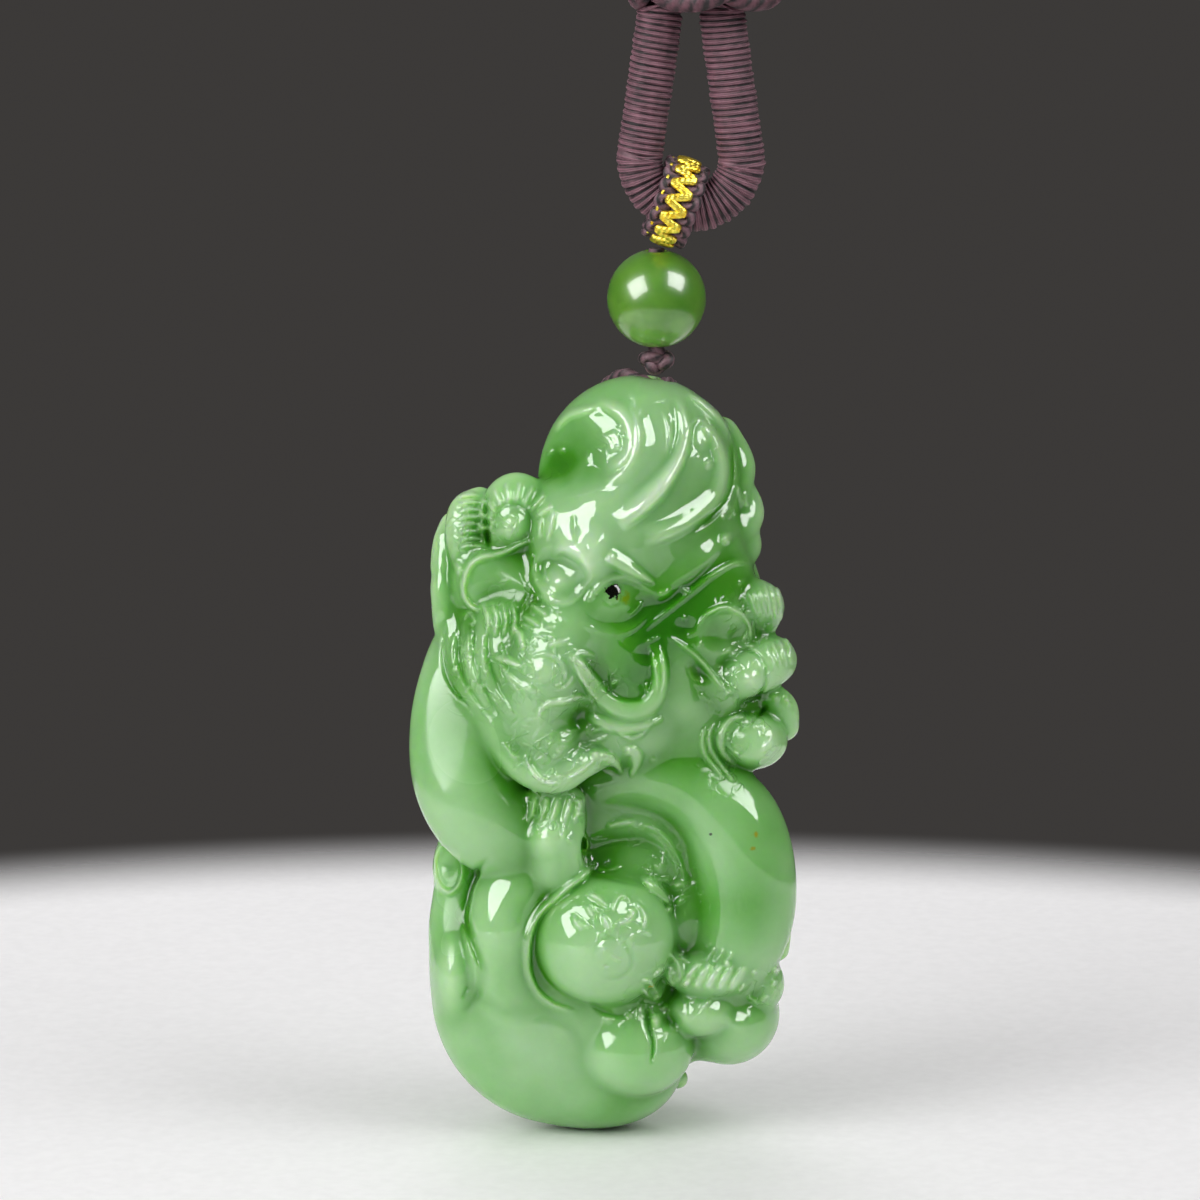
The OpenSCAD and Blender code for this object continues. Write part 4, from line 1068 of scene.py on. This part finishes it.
def frames(path, closed=False):
    """Unit directions across and over a path, without a twist."""
    path = np.asarray(path, float)
    ahead = np.roll(path, -1, 0) - np.roll(path, 1, 0) if closed else np.gradient(path, axis=0)
    ahead /= np.linalg.norm(ahead, axis=1, keepdims=True) + 1e-12
    side = np.zeros_like(ahead)
    guess = np.array([0.0, 1.0, 0.0]) if abs(ahead[0, 1]) < 0.9 else np.array([1.0, 0.0, 0.0])
    for i, a in enumerate(ahead):
        guess = guess - a * (guess @ a)
        guess /= np.linalg.norm(guess)
        side[i] = guess
    over = np.cross(ahead, side)
    if closed:
        turn = math.atan2(side[0] @ over[-1], side[0] @ side[-1])
        back = np.linspace(0, turn, len(path))[:, None]
        side, over = side * np.cos(back) + over * np.sin(back), over * np.cos(back) - side * np.sin(back)
    return side, over


def lengths(path):
    """How far along a path each of its points lies."""
    gaps = np.linalg.norm(np.diff(path, axis=0), axis=1)
    return np.concatenate([[0], np.cumsum(gaps)])


def evenly(path, gap):
    """A path with its points gap mm apart."""
    path = np.asarray(path, float)
    s = lengths(path)
    n = max(int(s[-1] / gap), 3)
    at = np.linspace(0, s[-1], n + 1)
    return np.stack([np.interp(at, s, path[:, k]) for k in range(3)], 1)


def grid_faces(rows, sides, i, j):
    """Faces between rings of points, at the rings i and the places j round them."""
    i2, j2 = (i + 1) % rows, (j + 1) % sides
    return np.stack([i * sides + j, i * sides + j2, i2 * sides + j2, i2 * sides + j], -1).reshape(-1, 4)


def tube(path, radius, sides, shape=None, closed=False):
    """Points, faces and corner coordinates of a tube. shape(around, along) adds to its radius in mm."""
    path = np.asarray(path, float)
    n = len(path)
    side, over = frames(path, closed)
    around = np.arange(sides) / sides
    along = lengths(path)
    whole = along[-1] + (np.linalg.norm(path[0] - path[-1]) if closed else 0)
    r = np.broadcast_to(np.asarray(radius, float).reshape(-1, 1), (n, sides)).copy()
    if shape is not None:
        r += shape(around[None, :], along[:, None])
    a = 2 * math.pi * around
    points = (path[:, None, :] + r[..., None] * (np.cos(a)[None, :, None] * side[:, None, :]
                                                 + np.sin(a)[None, :, None] * over[:, None, :]))
    points = points.reshape(-1, 3)
    i, j = np.meshgrid(np.arange(n if closed else n - 1), np.arange(sides), indexing="ij")
    faces = grid_faces(n, sides, i, j)
    u0, u1 = j / sides, (j + 1) / sides
    v0 = along[i]
    v1 = np.where(i + 1 < n, along[np.minimum(i + 1, n - 1)], whole)
    corners = np.stack([np.stack(p, -1) for p in ((u0, v0), (u1, v0), (u1, v1), (u0, v1))], -2)
    corners = corners.reshape(-1, 2)
    if not closed:
        points = np.concatenate([points, path[:1], path[-1:]])
        first = np.arange(sides)
        after = (first + 1) % sides
        tip, last = np.full(sides, n * sides), (n - 1) * sides
        faces = np.concatenate([faces, np.stack([tip, after, first, first], -1),
                                np.stack([tip + 1, last + first, last + after, last + after], -1)])
        corners = np.concatenate([corners, np.tile([0.5, along[0]], (4 * sides, 1)),
                                  np.tile([0.5, along[-1]], (4 * sides, 1))])
    return points, faces, corners


def tubes_object(name, made, body):
    """One object of many tubes, with its corner coordinates as a map."""
    starts = np.cumsum([0] + [len(points) for points, _, _ in made])
    obj = mesh_object(name, np.concatenate([points for points, _, _ in made]),
                      np.concatenate([faces + start for (_, faces, _), start in zip(made, starts)]),
                      np.concatenate([corners for _, _, corners in made]))
    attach(obj, body)
    return obj


# Thick loop and its winding of thread. Places are the same as in the solids
HEAD_TOP, HEAD_FOOT = -268.026, -277.026
HEAD_MIDDLE = (HEAD_TOP + HEAD_FOOT) / 2
LOOP_X, LOOP_BEND_Z, LOOP_R, LEG_X = -1.0, -288.726, 4.1, 2.6
WRAP_PITCH = 0.48
bend = [(LOOP_X + LOOP_R * math.sin(math.radians(a)), 0, LOOP_BEND_Z - LOOP_R * math.cos(math.radians(a)))
        for a in np.linspace(-100, 92, 25)]
left_leg = [(LOOP_X - LEG_X, 0, HEAD_FOOT + 0.8), (LOOP_X - LEG_X, 0, HEAD_FOOT - 0.86)]
right_leg = [(LOOP_X + LEG_X, 0, HEAD_FOOT - 0.86), (LOOP_X + LEG_X, 0, HEAD_FOOT + 0.8)]
loop_path = evenly(smooth_rows(left_leg + bend + right_leg, 6), 0.06)
WRAPS = 400
wrap_wander = rng.normal(0, 1, WRAPS)


def wound(around, along):
    """Turns of thread, some a little prouder and with a gap after every second or third."""
    turn = along / WRAP_PITCH + around
    number = np.floor(turn).astype(int)
    t = turn - number

    # A gap shows at the end of one turn and at the start of the next
    def gap(which, off):
        return np.where(wrap_wander[which % WRAPS] > 0.25, 0.09, 0.0) * np.exp(-(off / 0.16) ** 2)

    crown = 0.24 * (np.sqrt(np.maximum(1 - (2 * t - 1) ** 2, 0)) - 1)
    proud = 0.035 * wrap_wander[number % WRAPS] * np.sin(math.pi * t)
    return crown + proud - gap(number + 57, t - 1) - gap(number + 56, t)


winding = tubes_object("loop_winding", [tube(loop_path, 1.88, 40, wound)], "neck_loop")
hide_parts("wrapped_loop")


def braided(around, along):
    """Five strands each way, over and under."""
    u = 5 * around + along / 3.1
    v = 5 * around - along / 3.1
    a, b = u - np.floor(u), v - np.floor(v)
    even = (np.floor(u) + np.floor(v)) % 2 < 1
    across, onward = np.where(even, a, b), np.where(even, b, a)
    crown = np.sqrt(np.maximum(1 - (2 * across - 1) ** 2, 0))
    return 0.34 * (crown * (0.5 + 0.5 * np.sin(math.pi * onward)) - 1)


# Neck cord: round the neck on an arc, then straight to the head knot
NECK_R, NECK_Z, STRAND_X = 61.5, -60, 1.8
side_lean = math.radians(16.6992)
neck = [(NECK_R * math.sin(a), 0, NECK_Z + NECK_R * math.cos(a))
        for a in np.linspace(-math.pi / 2 - side_lean, math.pi / 2 + side_lean, 60)]
neck = ([(-STRAND_X, 0, HEAD_TOP - 0.4), (-STRAND_X, 0, HEAD_TOP + 2.06)] + neck
        + [(STRAND_X, 0, HEAD_TOP + 2.06), (STRAND_X, 0, HEAD_TOP - 0.4)])
neck_braid = tubes_object("neck_braid", [tube(evenly(neck, 0.42), 1.52, 32, braided)], "neck_loop")
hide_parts("neck_cord")

# Head knot: doubled strands woven three over one another round a core
t = np.linspace(0, 2 * math.pi * 3, 520, endpoint=False)
weave = []
for shift in (-0.72, 0.72):
    phase = 5 / 3 * t
    slant = np.sin(phase)
    out = 0.42 * np.sin(2 * phase)
    reach_x = 5.45 + out - 0.5 * np.cos(phase) ** 4
    reach_y = 3.35 + out - 0.5 * np.cos(phase) ** 4
    up = 3.0 * np.cos(phase) + shift * (0.55 + 0.45 * np.abs(slant))
    sideways = shift * 0.55 * slant
    line = np.stack([reach_x * np.cos(t + sideways / 5), reach_y * np.sin(t + sideways / 5),
                     HEAD_MIDDLE + up], 1)
    weave.append(tube(line, 0.86, 14, closed=True))
core_x = np.linspace(-4.9, 4.9, 15)
core_round = [3.3 * math.sqrt(1 - (x / 5.6) ** 4) for x in core_x]
weave.append(tube([(x, 0, HEAD_MIDDLE) for x in core_x], core_round, 24))
head = tubes_object("head_knot_weave", weave, "neck_loop")
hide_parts("head_knot")

# Ring of square knots: loops of cord down both sides, and a gold zigzag over the middle
BAIL = np.array([-2.20445, 0, -292.224])
BAIL_AXIS = np.array([0.945519, 0, -0.325568])
BAIL_UP = np.array([0.325568, 0, 0.945519])
BAIL_FRONT = np.array([0.0, -1.0, 0.0])
KNOTS = 15
PITCH = 2 * math.pi / KNOTS


def on_ring(angle, width, radius):
    """Places round the ring, in radians from its top over its front, and in mm along and from its axis."""
    angle, width, radius = np.broadcast_arrays(angle, width, radius)
    flat = np.cos(angle)[..., None] * BAIL_UP + np.sin(angle)[..., None] * BAIL_FRONT
    return BAIL + radius[..., None] * flat + width[..., None] * BAIL_AXIS


lobes = []
t = np.linspace(-1, 1, 15)
inner = np.linspace(-1, 1, 9)
for side in (-1, 1):
    for i in range(KNOTS):
        middle = (i + 0.25 * side) * PITCH
        width = side * (0.35 + 1.12 * np.sqrt(np.maximum(1 - np.abs(t) ** 2.6, 0)))
        angle = middle + 0.33 * PITCH * np.sign(t) * np.abs(t) ** 0.6
        lobes.append(tube(on_ring(angle, width, 2.98 + 0.12 * (1 - t ** 2)), 0.4, 10))
        lobes.append(tube(on_ring(middle + 0.36 * PITCH * inner, side * 0.95, 2.72), 0.42, 8))
ring_angle = np.arange(72) / 72 * 2 * math.pi
for width, radius, thick, sides in ((0.0, 2.86, 0.52, 12), (-0.55, 2.8, 0.42, 10), (0.55, 2.8, 0.42, 10)):
    lobes.append(tube(on_ring(ring_angle, width, radius), thick, sides, closed=True))
bail = tubes_object("bail_knots", lobes, "pendant")
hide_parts("bail_band")

# Two gold threads side by side, then the stitches down the ring's left edge
zig = []
steps = np.arange(KNOTS * 24) / 24
swing = np.clip((np.abs(steps % 1 - 0.5) * 4 - 1) * 1.25, -1, 1)
for offset in (-0.055, 0.055):
    zig.append(tube(on_ring((steps + offset) * PITCH, 0.78 * swing, 3.42 + 0.08 * (1 - swing ** 2)),
                    0.26, 10, closed=True))
t = np.linspace(-1, 1, 7)
for i in range(KNOTS):
    zig.append(tube(on_ring((i + 0.25 + 0.16 * t) * PITCH, -1.28 - 0.1 * (1 - t ** 2),
                            3.22 + 0.1 * (1 - t ** 2)), 0.13, 8))
gold = tubes_object("gold_zigzag", zig, "pendant")
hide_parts("gold_thread")


def twisted(height, pitch):
    """Two plies that wind round a thread every pitch mm."""
    return lambda around, along: height * np.cos(2 * math.pi * (2 * around + along / pitch))


# Thread through the bead, the small knot and the carving's thread
thread = [(BEAD_X, 0, KNOT_FOOT_Z + 1), (BEAD_X, 0, -296.0)]
bead_line = tubes_object("bead_line", [tube(evenly(thread, 0.15), 0.62, 16, twisted(0.08, 1.6))],
                         "pendant")
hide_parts("bead_thread")
t = np.linspace(0, 2 * math.pi, 140, endpoint=False)
knot = np.stack([BEAD_X + 0.36 * (np.sin(t) + 2 * np.sin(2 * t)), -0.55 * np.sin(3 * t),
                 KNOT_FOOT_Z + 1.02 + 0.2 * (np.cos(t) - 2 * np.cos(2 * t))], 1)
small_knot = tubes_object("small_knot", [tube(knot, 0.5, 14, closed=True)], "pendant")
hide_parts("bead_knot")
hanger = tubes_object("carving_hanger", [tube(evenly(THREAD_LINE, 0.15), 0.42, 14, twisted(0.05, 1.3))],
                      "pendant")
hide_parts("carving_thread")

# Bead, turned and drilled. Its outline: radius and height from its middle
BEAD_SIDES = 96
HOLE_R = 0.85
turned = [(HOLE_R, -3.3)]
for a in np.linspace(-0.5 * math.pi + 0.25, 0.5 * math.pi - 0.25, 61):
    turned.append((BEAD_D / 2 * math.cos(a), BEAD_D / 2 * math.sin(a)))
turned = np.array(turned + [(HOLE_R, 3.3), (HOLE_R, 1.1), (HOLE_R, -1.1)])
a = np.arange(BEAD_SIDES) / BEAD_SIDES * 2 * math.pi
bead_points = np.stack([turned[:, :1] * np.cos(a), turned[:, :1] * np.sin(a),
                        np.repeat(turned[:, 1:], BEAD_SIDES, 1)], -1).reshape(-1, 3) + [BEAD_X, 0, BEAD_Z]
i, j = np.meshgrid(np.arange(len(turned)), np.arange(BEAD_SIDES), indexing="ij")
bead = mesh_object("bead", bead_points, grid_faces(len(turned), BEAD_SIDES, i, j))
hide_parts("jade_bead")
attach(bead, "pendant")

# Materials of the bead, cords and gold
paint = Paint("bead_jade")
colour = paint.ramp(paint.noise(260, 3, 0.55), [(0.3, shade(92, 156, 34)), (0.7, shade(124, 180, 62))])
paint.look(Base_Color=colour, Roughness=0.3, IOR=1.61, Subsurface_Weight=1.0, Subsurface_Scale=0.0025,
           Subsurface_Radius=(0.6, 1.0, 0.3), Transmission_Weight=0.3, Coat_Weight=0.7,
           Coat_Roughness=0.02, Coat_IOR=1.6, Normal=paint.bump(paint.noise(700, 2), 0.05, 0.0002))
paint.wear(bead)


def cord_paint(name, plies, pitch, fibre, light, turns=0, apart=1.0):
    """A cord's material on its map: plies that slant round it every pitch mm, with fine fibres, and the
    colour lighter on the plies' crests as painted shade between them.
    turns round it, apart mm from one another, leave dark gaps: painted shade towards the edges of each
    turn."""
    paint = Paint(name)
    split = paint.add("ShaderNodeSeparateXYZ", {0: paint.add("ShaderNodeUVMap", uv_map="map").outputs[0]})
    around, along = split.outputs[0], split.outputs[1]
    slant = paint.total(paint.product(around, plies), paint.maths("DIVIDE", along, pitch))
    wave = paint.maths("SINE", paint.product(slant, 2 * math.pi))
    lying = paint.add("ShaderNodeCombineXYZ", {0: paint.product(around, fibre[0]),
                                               1: paint.product(along, fibre[1])}).outputs[0]
    fibres = paint.noise(1, 3, 0.65, lying)
    fuzz = paint.noise(2600, 3, 0.7)
    # Lighter on the plies' crests and darker between them, painted shade in the grooves, with the cord's
    # own fibres and blotches
    level = paint.total(paint.maths("MULTIPLY_ADD", wave, 0.12, 0.1), paint.product(fibres, 0.5),
                        paint.maths("MULTIPLY_ADD", paint.noise(900, 3), 0.7, -0.27))
    # Darker towards the edges of each turn, more at some gaps than at others: painted shade between the
    # turns
    if turns:
        over = paint.maths("DIVIDE", along, apart)
        across = paint.maths("FRACT", paint.maths("MULTIPLY_ADD", around, turns, over))
        crown = paint.maths("SINE", paint.product(across, math.pi))
        beside = paint.add("ShaderNodeCombineXYZ", {0: paint.product(along, 1.1 / apart)}).outputs[0]
        uneven = paint.between(paint.noise(1, 2, at=beside), 0.35, 0.65, 0.12, 1.05)
        dip = paint.product(paint.maths("SUBTRACT", 1.0, crown), uneven)
        shown = paint.maths("SUBTRACT", 1.0, dip)
        level = paint.total(level, paint.maths("MULTIPLY_ADD", shown, 0.8, -0.6))
    middle = tuple((a + b) / 2 for a, b in zip(CORD_DARK, light))
    bumps = paint.total(paint.product(wave, 0.5), paint.product(fibres, 1.2), paint.product(fuzz, 0.5))
    paint.look(Base_Color=paint.ramp(level, [(0.2, CORD_DARK), (0.5, middle), (0.8, light)]),
               Roughness=0.62, Sheen_Weight=0.15, Sheen_Roughness=0.4, Sheen_Tint=(0.8, 0.6, 0.68, 1),
               Normal=paint.bump(bumps, 0.55, 0.00012))
    return paint


CORD_DARK, CORD_LIGHT = shade(22, 12, 16), shade(128, 90, 102)
cord_paint("wrapped_thread", 0, 0.16, (3, 34), shade(150, 100, 115), 1, WRAP_PITCH).wear(winding)
cord_paint("braid_cord", 5, 1.55, (30, 3.5), CORD_LIGHT).wear(neck_braid)
cord_paint("head_cord", 3, 1.1, (16, 5), shade(112, 70, 82), 3, 1.1).wear(head)
cord_paint("knot_cord", 3, 1.1, (16, 5), CORD_LIGHT, 3, 1.1).wear(bail, bead_line, small_knot, hanger)
paint = Paint("gold_thread")
split = paint.add("ShaderNodeSeparateXYZ", {0: paint.add("ShaderNodeUVMap", uv_map="map").outputs[0]})
slant = paint.total(paint.product(split.outputs[0], 3.0), paint.product(split.outputs[1], 2.4))
foil = paint.maths("SINE", paint.product(slant, 2 * math.pi))
glitter = paint.noise(1900, 2)
paint.look(Base_Color=paint.ramp(glitter, [(0.3, shade(238, 190, 30)), (0.6, shade(255, 236, 96))]),
           Metallic=0.8, Roughness=0.34, Normal=paint.bump(paint.total(foil, glitter), 0.25, 0.00008))
paint.wear(gold)


# Camera, floor and light

SENSOR = 36
camera_data = bpy.data.cameras.new("camera")
camera_data.sensor_width = SENSOR
camera_data.lens = SENSOR * CAMERA_FAR * PIXELS_PER_MM / PICTURE_PIXELS
camera_data.clip_start = 0.01
camera_data.clip_end = 20
camera = bpy.data.objects.new("camera", camera_data)
camera.location = Vector(CAMERA_AT * MM)
camera.rotation_mode = "QUATERNION"
camera.rotation_quaternion = Vector(-CAMERA_BACK).to_track_quat("-Z", "Y")
bpy.context.scene.collection.objects.link(camera)
bpy.context.scene.camera = camera

# A pale disc under the carving that fades out before its rim
FLOOR_AT = np.array([-8.0, -60.0, jade_points[:, 2].min() - 0.02])
FLOOR_SIDES = 96
rings = [0.1, 40, 80, 120, 150, 180]
a = np.arange(FLOOR_SIDES) * 2 * math.pi / FLOOR_SIDES
disc = np.concatenate([FLOOR_AT + r * np.stack([np.cos(a), np.sin(a), 0 * a], 1) for r in rings])
i, j = np.meshgrid(np.arange(len(rings) - 1), np.arange(FLOOR_SIDES), indexing="ij")
floor = mesh_object("floor", disc, grid_faces(len(rings), FLOOR_SIDES, i, j)[:, [0, 3, 2, 1]])
paint = Paint("floor")
grain = paint.noise(900, 3)
paint.look(Base_Color=paint.ramp(grain, [(0.3, (0.84, 0.83, 0.84)), (0.7, (0.88, 0.87, 0.88))]),
           Roughness=0.55, Normal=paint.bump(grain, 0.05, 0.0002),
           Alpha=paint.between(paint.far_from(FLOOR_AT), 0.15, 0.178, 1.0, 0.0, "SMOOTHSTEP"))
paint.wear(floor)


def lamp(name, direction, far, size, power, turn=0.0, glints=False, shading=True):
    """A soft square light on the carving from a direction, far mm away. turn rolls it in degrees.
    glints and shading say whether it shows in gloss and whether it lights the surface."""
    data = bpy.data.lights.new(name, "AREA")
    data.shape = "RECTANGLE"
    data.size, data.size_y = size[0] * MM, size[1] * MM
    data.energy = power
    obj = bpy.data.objects.new(name, data)
    towards = Vector(direction).normalized()
    obj.location = (Vector((-6, 0, -325)) + towards * far) * MM
    obj.rotation_mode = "QUATERNION"
    obj.rotation_quaternion = towards.to_track_quat("Z", "Y") @ Quaternion((0, 0, 1), math.radians(turn))
    obj.visible_glossy = glints
    obj.visible_diffuse = shading
    bpy.context.scene.collection.objects.link(obj)


LEFT, RIGHT = (-0.694, -0.521, 0.498), (0.663, -0.348, 0.664)
lamp("softbox_left", LEFT, 900, (600, 600), 5.4, 45)
lamp("softbox_right", RIGHT, 900, (600, 600), 3.0, 45)
lamp("glint_left", LEFT, 870, (640, 640), 11, 45, glints=True, shading=False)
lamp("glint_right", RIGHT, 870, (560, 560), 8.5, 45, glints=True, shading=False)
lamp("softbox_back", (-0.2, 0.85, 0.5), 900, (700, 500), 3.4)
lamp("overhead", (0.05, -0.1, 1), 1400, (1800, 1800), 8)
lamp("ahead", (-0.15, -1, 0.35), 1500, (1500, 1000), 3.4)
world = bpy.data.worlds.new("studio")
world.use_nodes = True
world.node_tree.nodes["Background"].inputs[0].default_value = (0.045, 0.042, 0.04, 1)
bpy.context.scene.world = world
bpy.context.scene.view_settings.view_transform = "Standard"
